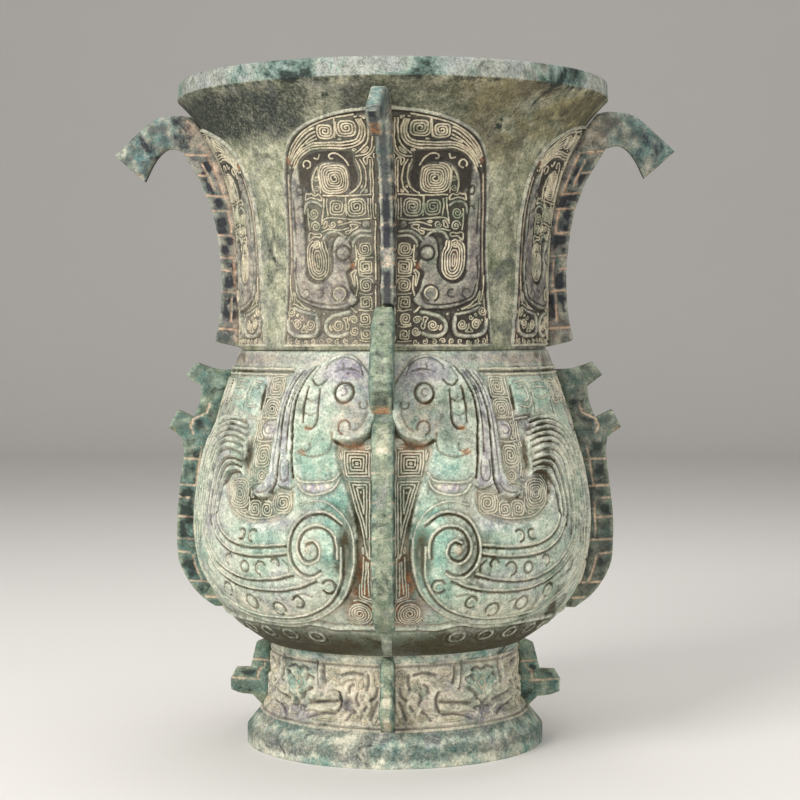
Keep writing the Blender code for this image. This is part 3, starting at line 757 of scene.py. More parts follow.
class ThreadTree(WallTree):
    """Lays raised threads and coils over a relief."""

    def __init__(self) -> None:
        """Build the tree."""
        more = {"Coils": "NodeSocketObject", "Ground": "NodeSocketObject", "Bed": "NodeSocketFloat",
                "Spacing": "NodeSocketFloat", "Sides": "NodeSocketInt", "Shake": "NodeSocketFloat"}
        super().__init__("laid_threads", self.INPUTS | more)
        ports = self.ports
        paths = self.add("GeometryNodeMeshToCurve", {"Mesh": ports["Geometry"]}).outputs[0]
        both = self.add("GeometryNodeJoinGeometry")
        self.tree.links.new(paths, both.inputs[0])
        self.tree.links.new(self.coiled(), both.inputs[0])
        shape = self.add("GeometryNodeResampleCurve", {"Curve": both.outputs[0], "Length": ports["Spacing"]},
                         mode="LENGTH").outputs[0]
        s, v, _ = self.split(self.add("GeometryNodeInputPosition").outputs[0])
        shake = self.noise(self.vector(s, v, ports["Seed"]), 0.32, 2.0).outputs["Color"]
        ds, dv, _ = self.split(self.scaled(self.moved("SUBTRACT", shake, (0.5, 0.5, 0.5)), ports["Shake"]))
        s, v = self.total(s, ds), self.total(v, dv)
        ray = self.add("GeometryNodeRaycast", {
            "Target Geometry": self.thing("Ground"), "Source Position": self.vector(s, v, 50.0),
            "Ray Direction": (0.0, 0.0, -1.0), "Ray Length": 100.0})
        level = self.split(ray.outputs["Hit Position"])[2]
        shape = self.place(shape, self.vector(s, v, self.total(level, ports["Bed"])))
        worn = self.noise(self.vector(s, v, self.total(ports["Seed"], 9.0)), 0.16, 4.0, 0.7).outputs[0]
        left = self.math("MINIMUM", self.total(self.times(worn, 1.9), 0.12), 1.2)
        girth = self.times(self.named("girth"), left)
        profile = self.add("GeometryNodeCurvePrimitiveCircle", {"Resolution": ports["Sides"], "Radius": 1.0})
        shape = self.add("GeometryNodeCurveToMesh", {
            "Curve": shape, "Profile Curve": profile.outputs[0], "Scale": girth,
            "Fill Caps": True}).outputs[0]
        self.close(self.lay(shape))

    def coiled(self) -> Socket:
        """Wind a straight line into a coil at each coil's middle."""
        line = self.add("GeometryNodeCurvePrimitiveLine", {"Start": (0.0, 0.0, 0.0), "End": (1.0, 0.0, 0.0)})
        line = self.add("GeometryNodeResampleCurve", {"Curve": line.outputs[0], "Count": 160}).outputs[0]
        share = self.add("GeometryNodeSplineParameter").outputs["Factor"]
        line = self.add("GeometryNodeStoreNamedAttribute",
                        {"Geometry": line, "Name": "along", "Value": share}, data_type="FLOAT").outputs[0]
        lines = self.add("GeometryNodeInstanceOnPoints", {"Points": self.thing("Coils"), "Instance": line})
        lines = self.add("GeometryNodeRealizeInstances", {"Geometry": lines.outputs[0]}).outputs[0]
        along = self.total(self.times(self.named("along"), 0.9), 0.1)
        angle = self.total(self.times(self.named("turns"), along, 2 * math.pi), self.named("start"))
        cosine, sine = self.math("COSINE", angle), self.math("SINE", angle)
        corner = self.named("corner")
        span = self.total(self.math("POWER", self.math("ABSOLUTE", cosine), corner),
                          self.math("POWER", self.math("ABSOLUTE", sine), corner))
        span = self.math("POWER", span, self.math("DIVIDE", -1.0, corner))
        radius = self.times(self.named("reach"), along, span)
        winding = self.vector(self.times(radius, cosine), self.times(radius, sine, self.named("tall")), 0.0)
        return self.place(lines, self.moved("ADD", self.named("middle", "FLOAT_VECTOR"), winding))


class TurnedTree(GrowingTree):
    """Turns a closed wall section round the vessel's axis, with the lumps of a casting."""

    def __init__(self) -> None:
        """Build the tree."""
        super().__init__("turned_wall", {
            "Steps": "NodeSocketInt", "Facets": "NodeSocketInt", "Lump": "NodeSocketFloat",
            "Seed": "NodeSocketFloat", "Finish": "NodeSocketMaterial"})
        ports = self.ports
        tube = self.add("GeometryNodeMeshCylinder", {
            "Vertices": ports["Facets"], "Side Segments": ports["Steps"], "Radius": 1.0, "Depth": 1.0},
            fill_type="NONE").outputs[0]
        x, y, z = self.split(self.add("GeometryNodeInputPosition").outputs[0])
        row = self.times(self.total(z, 0.5), ports["Steps"])
        row = self.math("MODULO", self.math("ROUND", row), ports["Steps"])
        sample = self.add("GeometryNodeSampleIndex", data_type="FLOAT_VECTOR")
        self.feed(sample.inputs["Geometry"], ports["Geometry"])
        self.feed(sample.inputs["Value"], self.add("GeometryNodeInputPosition").outputs[0])
        self.feed(sample.inputs["Index"], row)
        radius, _, level = self.split(sample.outputs[0])
        place = self.vector(self.times(x, radius), self.times(y, radius), level)
        place = self.moved("ADD", place, self.vector(ports["Seed"], 0.0, 0.0))
        lump = self.noise(place, 0.07, 3.0).outputs[0]
        lump = self.times(self.math("SUBTRACT", lump, 0.5), ports["Lump"])
        radius = self.total(radius, lump)
        place = self.vector(self.times(x, radius), self.times(y, radius), level)
        shape = self.place(tube, self.scaled(place, MM))
        shape = self.add("GeometryNodeMergeByDistance", {"Geometry": shape, "Distance": 0.00001}).outputs[0]
        self.close(shape)


# Finishes


def srgb(red: int, green: int, blue: int) -> Colour:
    """Turn a screen colour into the light that it stands for."""
    parts = []
    for value in (red, green, blue):
        share = value / 255
        parts.append(share / 12.92 if share <= 0.04045 else ((share + 0.055) / 1.055) ** 2.4)
    return parts[0], parts[1], parts[2]


def new_material(name: str) -> tuple[Material, Nodes, bpy.types.Node, Socket]:
    """Make a material, and give its nodes, its shader and the place on the piece."""
    made = bpy.data.materials.new(name)
    made.use_nodes = True
    nodes = Nodes(made.node_tree)
    place = nodes.add("ShaderNodeTexCoord").outputs["Object"]
    return made, nodes, made.node_tree.nodes["Principled BSDF"], place


@dataclass(frozen=True)
class Patina:
    """A finish of old bronze: crusts of verdigris, ashy and dark stains, grain, and dust in its hollows.

    Shares run from 0 to 1, and scales are in patches to the metre. A soot_and_shade band, of soot and painted
    shade together, is a level, its half width and its share. Above the level of the lip the crust is rubbed
    grey, and below it the soot and painted shade lie thicker on the left, with a painted shadow line just
    under the lip, and brown earth on the right. silt_and_side_light is a share of painted light, laid in the
    dust colour on the lower left, which also deepens the dark tint on the right as painted shade, and
    right_gloom a share of dark patches on the right.
    """

    name: str
    pale: Colour = srgb(176, 188, 168)
    deep: Colour = srgb(132, 158, 140)
    ash: Colour = srgb(164, 156, 160)
    dust: Colour = srgb(212, 198, 174)
    dark: Colour = srgb(44, 42, 42)
    rust: Colour = srgb(170, 112, 70)
    teal: Colour = srgb(118, 168, 150)
    lilac: Colour = srgb(166, 156, 172)
    patch: float = 34.0
    ash_share: float = 0.35
    dark_share: float = 0.25
    dust_share: float = 0.25
    tone: bool = False
    soot_and_shade: tuple[tuple[float, float, float], ...] = ()
    lip: float = 0.0
    lip_colour: Colour = srgb(150, 154, 150)
    warm: Colour = srgb(142, 122, 78)
    olive: Colour = srgb(158, 148, 104)
    silt_and_side_light: float = 0.0
    right_gloom: float = 0.0
    roughness: float = 0.72
    grain: float = 0.6

    def material(self) -> Material:
        """Build the finish.

        Returns:
            A material that reads Object coordinates and the tints stored on the mesh.
        """
        made, n, shader, place = new_material(self.name)
        tints = {}
        for key in (*TINTS, "tone"):
            tints[key] = n.add("ShaderNodeAttribute", attribute_name=key).outputs["Fac"]
        far = n.moved("ADD", place, (3.1, 1.7, 0.4))
        patch = n.noise(place, self.patch, 5.0, 0.62, 0.5).outputs[0]
        blotch = n.noise(far, self.patch * 2.1, 6.0, 0.66, 0.3).outputs[0]
        stain = n.noise(far, self.patch * 1.3, 6.0, 0.7, 0.8).outputs[0]
        crust = n.noise(place, 260.0, 5.0, 0.7).outputs[0]
        grain = n.noise(place, 2300.0, 3.0, 0.65).outputs[0]
        flecks = n.noise(far, 1050.0, 4.0, 0.65).outputs[0]
        light = tuple(min(1.0, part * 1.3) for part in self.pale)
        colour = n.mix(n.between(patch, 0.40, 0.62), (*self.pale, 1.0), (*self.deep, 1.0))
        colour = n.mix(n.times(n.between(blotch, 0.50, 0.64), self.ash_share * 1.5), colour, (*self.ash, 1.0))
        for key, pattern in (("teal", blotch), ("lilac", stain)):
            broken = n.between(n.total(pattern, n.times(crust, 0.35)), 0.50, 0.72)
            share = n.times(tints[key], n.total(n.times(broken, 0.75), 0.2))
            colour = n.mix(share, colour, (*getattr(self, key), 1.0))
        colour = n.mix(n.times(n.between(crust, 0.52, 0.74), 0.5), colour, (*light, 1.0))
        loose = n.times(n.between(n.total(n.times(blotch, -0.5), crust), 0.16, 0.42), self.dust_share)
        held = n.times(tints["dust"], n.between(crust, 0.30, 0.55), 0.85)
        colour = n.mix(n.math("MINIMUM", n.total(loose, held), 0.9), colour, (*self.dust, 1.0))
        across, _, height = n.split(place)
        thick = n.total(n.times(n.between(across, 0.005, 0.05), self.right_gloom), self.dark_share * 1.5)
        shadow = n.times(n.between(stain, 0.53, 0.68), thick)
        held = n.times(tints["dark"], n.total(n.times(n.between(crust, 0.28, 0.62), 0.35), 0.75))
        dark = n.total(shadow, held)
        level = n.total(height, n.times(n.math("SUBTRACT", blotch, 0.5), 0.012))
        below = n.between(height, self.lip + 0.0004, self.lip - 0.0002) if self.lip else 1.0
        left = n.between(across, 0.13, -0.06) if self.lip else 1.0
        # Soot and painted shade in bands, broken by flecks.
        for middle, half, share in self.soot_and_shade:
            away = n.math("ABSOLUTE", n.math("SUBTRACT", level, middle))
            band = n.between(away, half, half * 0.45)
            band = n.times(band, n.between(patch, 0.28, 0.46), share, below, left)
            broken = n.total(n.times(n.between(flecks, 0.62, 0.46), 0.3), 0.7)
            dark = n.math("MAXIMUM", dark, n.times(band, broken))
        if self.lip:
            right = n.times(n.between(across, -0.02, 0.06), n.between(height, 0.196, 0.226), below)
            colour = n.mix(n.times(right, n.between(blotch, 0.44, 0.60), 0.75), colour, (*self.warm, 1.0))
            colour = n.mix(n.times(right, n.between(stain, 0.52, 0.42), 0.8), colour, (*self.olive, 1.0))
            dark = n.math("MAXIMUM", dark, n.times(right, n.between(patch, 0.52, 0.62), 0.75))
            shaded = n.times(n.between(across, 0.015, 0.055), below, n.between(blotch, 0.45, 0.57))
            dark = n.math("MAXIMUM", dark, n.times(shaded, 0.7))
            # Painted shadow: a dark line just under the lip.
            edge = n.times(n.between(height, self.lip - 0.0045, self.lip - 0.0005), below)
            dark = n.math("MAXIMUM", dark, n.times(edge, n.between(crust, 0.62, 0.40), 0.85))
            rubbed = n.total(n.times(n.between(blotch, 0.62, 0.42), 0.6), 0.3)
            above = n.math("SUBTRACT", 1.0, below)
            colour = n.mix(n.times(above, rubbed), colour, (*self.lip_colour, 1.0))
            colour = n.mix(n.times(above, n.between(stain, 0.50, 0.62), 0.55), colour, (*self.teal, 1.0))
            dark = n.math("MAXIMUM", dark, n.times(above, n.between(blotch, 0.52, 0.66), 0.6))
        # Painted shade: the dark tint is deepened on the right side.
        if self.silt_and_side_light:
            dark = n.total(dark, n.times(tints["dark"], n.between(across, -0.002, 0.01), 0.2))
        colour = n.mix(n.math("MINIMUM", dark, 0.97), colour, (*self.dark, 1.0))
        rust = n.math("MINIMUM", n.times(tints["rust"], n.between(crust, 0.34, 0.58)), 0.85)
        colour = n.mix(rust, colour, (*self.rust, 1.0))
        if self.tone:
            grimy = n.total(n.times(n.between(stain, 0.62, 0.40), 0.6), 0.3)
            dusty = n.times(tints["tone"], grimy, n.total(n.between(crust, 0.2, 0.6), 0.4))
            colour = n.mix(n.math("MINIMUM", dusty, 0.9), colour, (*self.dust, 1.0))
        # Painted light: the lower left is laid over with the pale dust colour.
        if self.silt_and_side_light:
            low_left = n.times(n.between(across, 0.012, -0.02), n.between(height, 0.212, 0.170))
            share = n.times(low_left, n.total(n.times(n.between(crust, 0.36, 0.62), 0.7), 0.3), self.silt_and_side_light)
            colour = n.mix(share, colour, (*self.dust, 1.0))
        # Wear and painted highlight: raised parts and rims are lightened.
        worn = n.times(tints["wear"], n.between(crust, 0.36, 0.60))
        colour = n.mix(n.times(worn, 0.7), colour, (*light, 1.0))
        speckle = n.total(n.times(grain, 0.35), n.times(flecks, 0.35), n.times(crust, 0.3))
        speckle = n.between(speckle, 0.38, 0.62)
        speckle = n.add("ShaderNodeCombineColor", {0: speckle, 1: speckle, 2: speckle}).outputs[0]
        colour = n.mix(self.grain, colour, speckle, "OVERLAY")
        pit = n.between(flecks, 0.63, 0.70)
        colour = n.mix(n.times(pit, 0.5), colour, (*self.dark, 1.0))
        n.feed(shader.inputs["Base Color"], colour)
        n.feed(shader.inputs["Roughness"], n.total(n.times(grain, 0.25), self.roughness - 0.12))
        shader.inputs["Metallic"].default_value = 0.1
        shader.inputs["Specular IOR Level"].default_value = 0.35
        relief = n.total(n.times(crust, 0.9), n.times(grain, 0.45), n.times(pit, -0.6))
        bump = n.add("ShaderNodeBump", {"Height": relief, "Strength": 0.6, "Distance": 0.0006})
        n.feed(shader.inputs["Normal"], bump.outputs[0])
        return made


@dataclass(frozen=True)
class Matt:
    """A plain matt finish for the stage."""

    name: str
    colour: Colour

    def material(self) -> Material:
        """Build the finish, with a faint mottle."""
        made, n, shader, place = new_material(self.name)
        mottle = n.noise(place, 6.0, 4.0).outputs[0]
        dim = tuple(part * 0.97 for part in self.colour)
        n.feed(shader.inputs["Base Color"], n.mix(mottle, (*self.colour, 1.0), (*dim, 1.0)))
        shader.inputs["Roughness"].default_value = 0.9
        return made


FINISHES = {
    "neck": Patina(
        "neck_patina", pale=srgb(154, 156, 132), deep=srgb(112, 120, 92), ash=srgb(124, 124, 120), patch=30.0,
        ash_share=0.5, dark_share=0.75, dust_share=0.3, dark=srgb(30, 38, 35), grain=0.7,
        soot_and_shade=((0.2245, 0.0125, 1.0),), lip=0.2337),
    "belly": Patina(
        "belly_patina", pale=srgb(180, 182, 164), deep=srgb(142, 158, 138), dust_share=0.4, dark_share=0.4),
    "inside": Patina("inside_bronze", pale=srgb(92, 96, 82), deep=srgb(70, 82, 72), dark_share=0.6),
    "foot": Patina(
        "foot_patina", pale=srgb(192, 192, 172), deep=srgb(116, 152, 140), dust_share=0.5, dark_share=0.8,
        patch=48.0, dark=srgb(40, 50, 46), soot_and_shade=((0.0050, 0.0030, 0.6), (0.0115, 0.0028, 0.6))),
    "neck_flange": Patina(
        "neck_flange_patina", pale=srgb(150, 152, 136), deep=srgb(92, 116, 110), ash=srgb(134, 122, 118),
        ash_share=0.5, dark_share=0.6, dust_share=0.4, patch=75.0, dark=srgb(38, 40, 46),
        teal=srgb(96, 138, 132), dust=srgb(204, 182, 158)),
    "belly_flange": Patina(
        "belly_flange_patina", pale=srgb(142, 152, 128), deep=srgb(112, 132, 106), ash_share=0.3,
        teal=srgb(82, 122, 114), dark_share=0.6, patch=75.0, dark=srgb(42, 50, 46), lilac=srgb(96, 82, 74)),
    "leaf": Patina(
        "leaf_patina", pale=srgb(154, 156, 138), deep=srgb(122, 136, 120), dust_share=0.35, ash_share=0.4,
        dark=srgb(46, 40, 34), teal=srgb(112, 142, 112), lilac=srgb(108, 102, 112), silt_and_side_light=0.18),
    "bird": Patina(
        "bird_patina", pale=srgb(188, 194, 176), deep=srgb(148, 172, 152), ash_share=0.4, dust_share=0.3,
        dark_share=0.35, dark=srgb(58, 50, 26), right_gloom=0.55),
    "frieze": Patina(
        "frieze_patina", pale=srgb(174, 172, 152), deep=srgb(144, 152, 134), dust_share=0.5, dark_share=0.35),
    "leaf_thread": Patina(
        "leaf_thread_patina", pale=srgb(160, 160, 136), deep=srgb(116, 136, 110), tone=True,
        dark_share=0.35, dust_share=0.4, dust=srgb(206, 192, 166), silt_and_side_light=0.35),
    "bird_thread": Patina(
        "bird_thread_patina", pale=srgb(190, 196, 178), deep=srgb(154, 174, 154), tone=True,
        dark_share=0.15, dust_share=0.35, dust=srgb(210, 198, 174)),
}


# Walls


@dataclass
class Walls:
    """The turned walls of neck, belly and foot, in millimetres."""

    foot_top: float = 38.0
    neck_base: float = 143.5
    flare_top: float = 233.4
    rim_top: float = 240.0
    neck_radius: float = 56.0
    mouth_radius: float = 78.2
    lip: float = 3.6
    flare: float = 4.2
    belly_radius: float = 71.0
    belly_base: float = 47.5
    widest: float = 0.39
    upper_swell: float = 1.7
    lower_swell: float = 2.9
    neck_wall: float = 1.7
    belly_wall: float = 1.6
    seam: float = 0.15
    facets: int = 168
    lump: float = 0.35
    seed_step: float = 41.0

    def neck_at(self, z: np.ndarray) -> np.ndarray:
        """Outer radius of the neck."""
        rise = limited((z - self.neck_base) / (self.flare_top - self.neck_base))
        return self.neck_radius + (self.mouth_radius - self.neck_radius) * rise ** self.flare

    def belly_at(self, z: np.ndarray) -> np.ndarray:
        """Outer radius of the belly."""
        level = limited((z - self.foot_top) / (self.neck_base - self.foot_top))
        rise = limited((level - self.widest) / (1 - self.widest))
        fall = limited((self.widest - level) / self.widest)
        return (self.belly_radius - (self.belly_radius - self.neck_radius) * rise ** self.upper_swell
                - (self.belly_radius - self.belly_base) * fall ** self.lower_swell)

    def neck_line(self) -> np.ndarray:
        """Outer edge of the neck, upwards."""
        z = np.linspace(self.neck_base, self.flare_top, 120)
        return np.column_stack([self.neck_at(z), z])

    def belly_line(self) -> np.ndarray:
        """Outer edge of the belly, upwards."""
        z = np.linspace(self.foot_top, self.neck_base, 160)
        return np.column_stack([self.belly_at(z), z])

    def foot_line(self) -> np.ndarray:
        """Outer edge of the foot, upwards."""
        return spline([(54.6, 0.0), (54.6, 4.2), (54.1, 6.0), (50.2, 10.6), (46.4, 15.2), (45.5, 17.0),
                       (45.3, 24.0), (45.2, 32.0), (45.6, 35.5), (46.2, 37.8)], 0.5)

    @staticmethod
    def inner(line: np.ndarray, wall: float) -> np.ndarray:
        """Move an upward edge inwards by a wall's thickness."""
        return line + wall * leftward(line)

    def sections(self) -> dict[str, np.ndarray]:
        """Closed wall sections by their CAD nodes, the outer edge first and upwards."""
        neck = self.neck_line()[::2]
        neck[0, 1] += self.seam
        hollow = self.inner(neck, self.neck_wall)[::-1]
        mouth, top = self.mouth_radius, self.rim_top
        rim = [(mouth + 0.16, self.flare_top + 0.1), (mouth + 0.26, self.flare_top + 0.3),
               (mouth + 0.3, self.flare_top + 0.6), (mouth + 0.2, top - 4.0), (mouth + 0.1, top - 1.4),
               (mouth - 0.2, top - 0.5), (mouth - 0.8, top), (mouth - 2.9, top),
               (mouth - self.lip, top - 0.6), (mouth - self.lip - 0.1, top - 2.4)]
        hollow = hollow[hollow[:, 0] < mouth - self.lip - 0.6]
        belly = self.belly_line()[::3]
        belly[-1, 1] -= self.seam
        cavity = self.inner(belly, self.belly_wall)[::-1]
        cavity = cavity[cavity[:, 1] > self.foot_top + 5.6]
        ledge = [(44.3, 43.0), (44.3, 41.0), (42.0, 41.0), (42.0, self.foot_top)]
        foot = self.foot_line()
        under = [(41.7, 37.7), (41.7, 39.6), (39.5, 39.6), (39.5, 36.0), (43.0, 32.0), (43.0, 15.0),
                 (51.0, 4.2), (51.0, 0.0)]
        return {"neck_wall": np.vstack([neck, rim, hollow]), "belly_wall": np.vstack([belly, cavity, ledge]),
                "foot_ring": np.vstack([foot, under])}

    def guide(self, name: str, line: np.ndarray) -> Item:
        """Make a helper curve that flat work is laid along."""
        curve = bpy.data.curves.new(name, "CURVE")
        curve.dimensions = "3D"
        path = curve.splines.new("POLY")
        path.points.add(len(line) - 1)
        for point, (radius, height) in zip(path.points, line):
            point.co = (radius, 0.0, height, 1.0)
        return linked(name, curve)

    def build(self, finishes: Finishes) -> None:
        """Turn the three walls and dress the floor.

        Args:
            finishes: Materials by name.
        """
        tree = TurnedTree()
        dress = {"neck_wall": "neck", "belly_wall": "belly", "foot_ring": "foot"}
        for seed, (node, section) in enumerate(self.sections().items()):
            places = np.column_stack([section[:, 0], np.zeros(len(section)), section[:, 1]])
            helper = new_object(node + "_section", places, [])
            piece = tree.grow(helper, "turned_" + node, {
                "Steps": len(section), "Facets": self.facets, "Lump": self.lump,
                "Seed": self.seed_step * seed, "Finish": finishes[dress[node]]})
            bpy.data.objects.remove(helper)
            outward(piece.data)
            add_piece(piece, dress[node] + "_patina", node)
        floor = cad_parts["vessel_floor"]
        floor.data.materials.clear()
        floor.data.materials.append(finishes["inside"])


def outward(mesh: bpy.types.Mesh) -> None:
    """Turn all faces of a closed mesh outwards."""
    body = bmesh.new()
    body.from_mesh(mesh)
    bmesh.ops.recalc_face_normals(body, faces=body.faces)
    if body.calc_volume(signed=True) < 0:
        bmesh.ops.reverse_faces(body, faces=body.faces)
    body.to_mesh(mesh)
    body.free()


def add_piece(piece: Item, slot: str, *nodes: str) -> None:
    """Set a finished piece on the frame.

    Args:
        piece: The piece, at the origin.
        slot: Not used.
        nodes: CAD nodes that it stands for.
    """
    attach(piece, BODY)
    if nodes:
        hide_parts(*nodes)
    faces = sum(len(face.vertices) - 2 for face in piece.data.polygons)
    LOG.info("%s: %d triangles", piece.name, faces)


# Ornament


Place = tuple[str, Side, int]
HALVES: list[Place] = [("front_right", Side.FRONT, 1), ("right_front", Side.RIGHT, -1),
                       ("right_back", Side.RIGHT, 1), ("back_right", Side.BACK, -1),
                       ("back_left", Side.BACK, 1), ("left_back", Side.LEFT, -1),
                       ("left_front", Side.LEFT, 1), ("front_left", Side.FRONT, -1)]
QUARTERS = [place for place in HALVES if place[1] in (Side.FRONT, Side.BACK)]


@dataclass
class Register:
    """One row of ornament, drawn once and laid on its wall at each of its places.

    A place is the end of a piece's name, its flange, and its hand: 1 on the right of the flange, -1 on
    the left. Round is the wall's radius where the drawing is true to size. Threads lie bed above the
    ground, with a bend at every spacing, and wander and shake are how far the maker's hand strays.
    """

    walls: Walls
    round_mm: float
    stem: str
    node: str
    thread_finish: str
    wander: float = 0.7
    shake: float = 0.7
    bed: float = 0.06
    spacing: float = 0.55
    sides: int = 4
    seed_step: float = 17.3

    PLACES = QUARTERS

    def draw(self) -> Ornament:
        """Draw the row's field."""
        raise NotImplementedError

    def line(self) -> np.ndarray:
        """Outer edge of the row's wall, upwards."""
        raise NotImplementedError

    def build(self, finishes: Finishes) -> None:
        """Lay the field at every place.

        Args:
            finishes: Materials by name.
        """
        art, stem = self.draw(), self.stem
        guide = self.walls.guide(stem + "_guide", self.line())
        ground = art.solid(stem + "_ground")
        paths, coils = art.lines(stem)
        relief, threads = ReliefTree(), ThreadTree()
        for seed, (end, side, hand) in enumerate(self.PLACES):
            shared = {"Wall": guide, "Round": self.round_mm, "Turn": side.azimuth, "Mirror": float(hand),
                      "Wander": self.wander, "Seed": self.seed_step * seed}
            piece = relief.grow(ground, f"{stem}_relief_{end}", shared | {"Finish": finishes[stem]})
            add_piece(piece, stem + "_patina", f"{self.node}_{end}")
            piece = threads.grow(paths, f"{stem}_lines_{end}", shared | {
                "Finish": finishes[self.thread_finish], "Coils": coils, "Ground": ground, "Bed": self.bed,
                "Spacing": self.spacing, "Shake": self.shake, "Sides": self.sides})
            add_piece(piece, stem + "_patina")
        for helper in (ground, paths, coils, guide):
            bpy.data.objects.remove(helper)


@dataclass
class BellyBirds(Register):
    """Four large birds on the belly, beak to beak at the front and back flanges."""

    round_mm: float = 71.0
    stem: str = "bird"
    node: str = "belly_bird"
    thread_finish: str = "bird_thread"

    EDGE = trace("""2.6 87 2.6 101 4.5 106 8 110.5 12 114.2 17 115.4 22 114.4 27 112 33 110.4 38.9 109.4
        41.8 104 43.2 97 43.6 85 43.8 74 45.4 70.6 49 68 50.3 66.3 46.6 64.4 42.4 65 39.4 67 36.4 68.4 33.4
        67.8 31.6 66.6 31.4 64.6 32.5 61.2 36 58.3 42 56.8 50 56.3 56 57.2 61 60.3 64 65 65.8 69 64.3 72.4
        61 73.8 57.5 73 55 70.8 54.4 75.5 55.2 81.5 58 86.5 62 90 68 92.2 76 92.8 84 91.6 90 87.5 94 80 96
        70 96.2 58 93.5 46.5 87 37 78 30 67 25.2 56 22.2 45 20.8 34 21.4 26 23.4 19 27 13 32 9.5 38 8 46 8.3
        56 10.5 64.5 13.5 72 15.8 78 16.8 83 15.5 84.6 11 84.4 6 85.8""")
    CREST = trace("""29 109.8 33 104 34.4 97 34.1 86 32.9 76 32 70.5 33.6 68.2 37.4 68.6 39.4 67.2 42.4 65.2
        46.6 64.6 50.3 66.3 49 68 45.2 70 43.6 73 43.4 85 43 97 41.8 104 38.9 109.4""")

    def draw(self) -> Ornament:
        """Draw one quarter, from the front flange to the right one."""
        art = Ornament(2.4, 109.1, 0.6, 116.2, 0.42, 0.35)
        self.body(art)
        self.crest(art)
        self.head(art)
        self.tail(art)
        self.thunder(art)
        self.borders(art)
        return art

    def body(self, art: Ornament) -> None:
        """Swell the bird's body, and lay its breast spiral and its feather lines."""
        held = art.swell(self.EDGE, 1.6, 1.0, 2.0, 12.0)
        before = art.height.copy()
        art.dome((21, 48), 15.0, 0.8, soft=True)
        art.dome((14, 98), 9.0, 0.7, soft=True)
        art.dome((10.5, 88.6), 5.0, 1.2, soft=True)
        art.height = before + (art.height - before) * held
        spiral = trace("""13 57.2 17 60.2 21 61 26 59.7 29.7 56.2 31.3 51 31 46 29.2 42.3 26 39.9
            22.4 39.8 19.6 41.4""")
        inner = trace("""14.6 46 14.6 50 15.6 53.6 18.4 56 22 56.6 26 54.9 28 51 27.8 47.5 26 44.9 23.5 44.2
            21 45.4 20 47.8 20.6 50.4 22.6 51.8 25 51""")
        # Each line has a dark groove on one side: painted shadow beside the raised line.
        for line in (spiral, inner):
            art.groove(shifted(line, -0.85), 0.5, 0.6, 0.9)
            art.thread(line, 0.4, 0.5, 0.35)
        art.thread(trace("9.6 52 10.5 55.5 13 59.9 17 63.2 22 64.4 28 63"), 0.36, 0.2, 0.3)
        art.dome((23.5, 48.8), 1.5, 0.5)
        art.stain((23.6, 48.8), 2.0, 2.0, rust=0.7)
        runs = [trace("""9.6 52 9.5 45 11 38 14 32.5 19 28 25 24.5 32 22.5 40 21.8 50 22.1 58 23.8 66 27 75
            31.8 84 38.8 90.5 48 93.2 60 93 74 90.3 84"""),
                trace("""13.5 50 13.4 44 14 39 17 33.5 22 29.3 28 26.6 34 25.2 40 24.8 50 24.8 58 26 65 28.9
                    72 33 80 39.4 86 47.6 89 58.4 89 72 86.6 83""")]
        runs += traces("""22 39.4 28 36.9 36 35.3 46 35 55 36 63 38.8 70 43 75 49.6 78.6 58
            30 40.8 38 38.9 48 38.1 56 39.1 64 42 70 46.8 74.4 53
            32 50.2 40 49.2 50 48.9 58 50.3 64 54 66.6 58.6
            32 47.4 40 46.2 50 45.9 58 47 64.5 50.4 69 56""")
        # Each line has a dark groove on one side: painted shadow beside the raised line.
        for run in runs:
            art.groove(shifted(run, -0.85), 0.5, 0.65, 0.9)
            art.thread(run, 0.4, 0.4, 0.3)
        motifs = [((47, 52), 2.0, 130, -90), ((43, 41.7), 2.2, 150, -80), ((52.5, 52.2), 1.7, 60, 300),
                  ((38, 28.4), 2.4, 200, -110), ((17.7, 37), 2.2, 30, 330), ((58, 43.4), 1.8, 150, -80),
                  ((29.4, 31.4), 2.0, 20, 300), ((61, 33.2), 2.3, 200, -100), ((36.8, 43.6), 1.6, 200, 20)]
        for centre, radius, start, end in motifs:
            art.groove(arc(centre, radius, start, end), 0.48, 0.65, 0.9)
            art.thread(arc(centre, radius - 0.85, start, end), 0.32, 0.5, 0.0)
        for centre, radius in (((50.2, 41.7), 1.8), ((50, 29.8), 2.5)):
            art.groove(arc(centre, radius, 0, 360), 0.5, 0.55, 0.75)
            art.dome(centre, radius * 0.6, 0.35)
        art.grooves("""33.6 45 31.6 43.4 31.4 41.6
            24 33.6 27.4 34.4 31 33.2
            44 30.8 46.8 31.6 47 28.6
            69 37.4 72.6 39.4 74 42""", 0.4, 0.4, 0.6)
        art.stain((14, 54), 13.0, 26.0, teal=0.95)
        art.stain((22, 78), 10.0, 12.0, teal=0.7)
        art.stain((40, 52), 22.0, 10.0, teal=0.45)
        art.stain((12.4, 48), 4.4, 12.0, dark=0.9)
        art.stain((45, 28), 34.0, 7.0, dust=0.45)
        art.stain((40, 57), 14.0, 4.0, lilac=0.7)

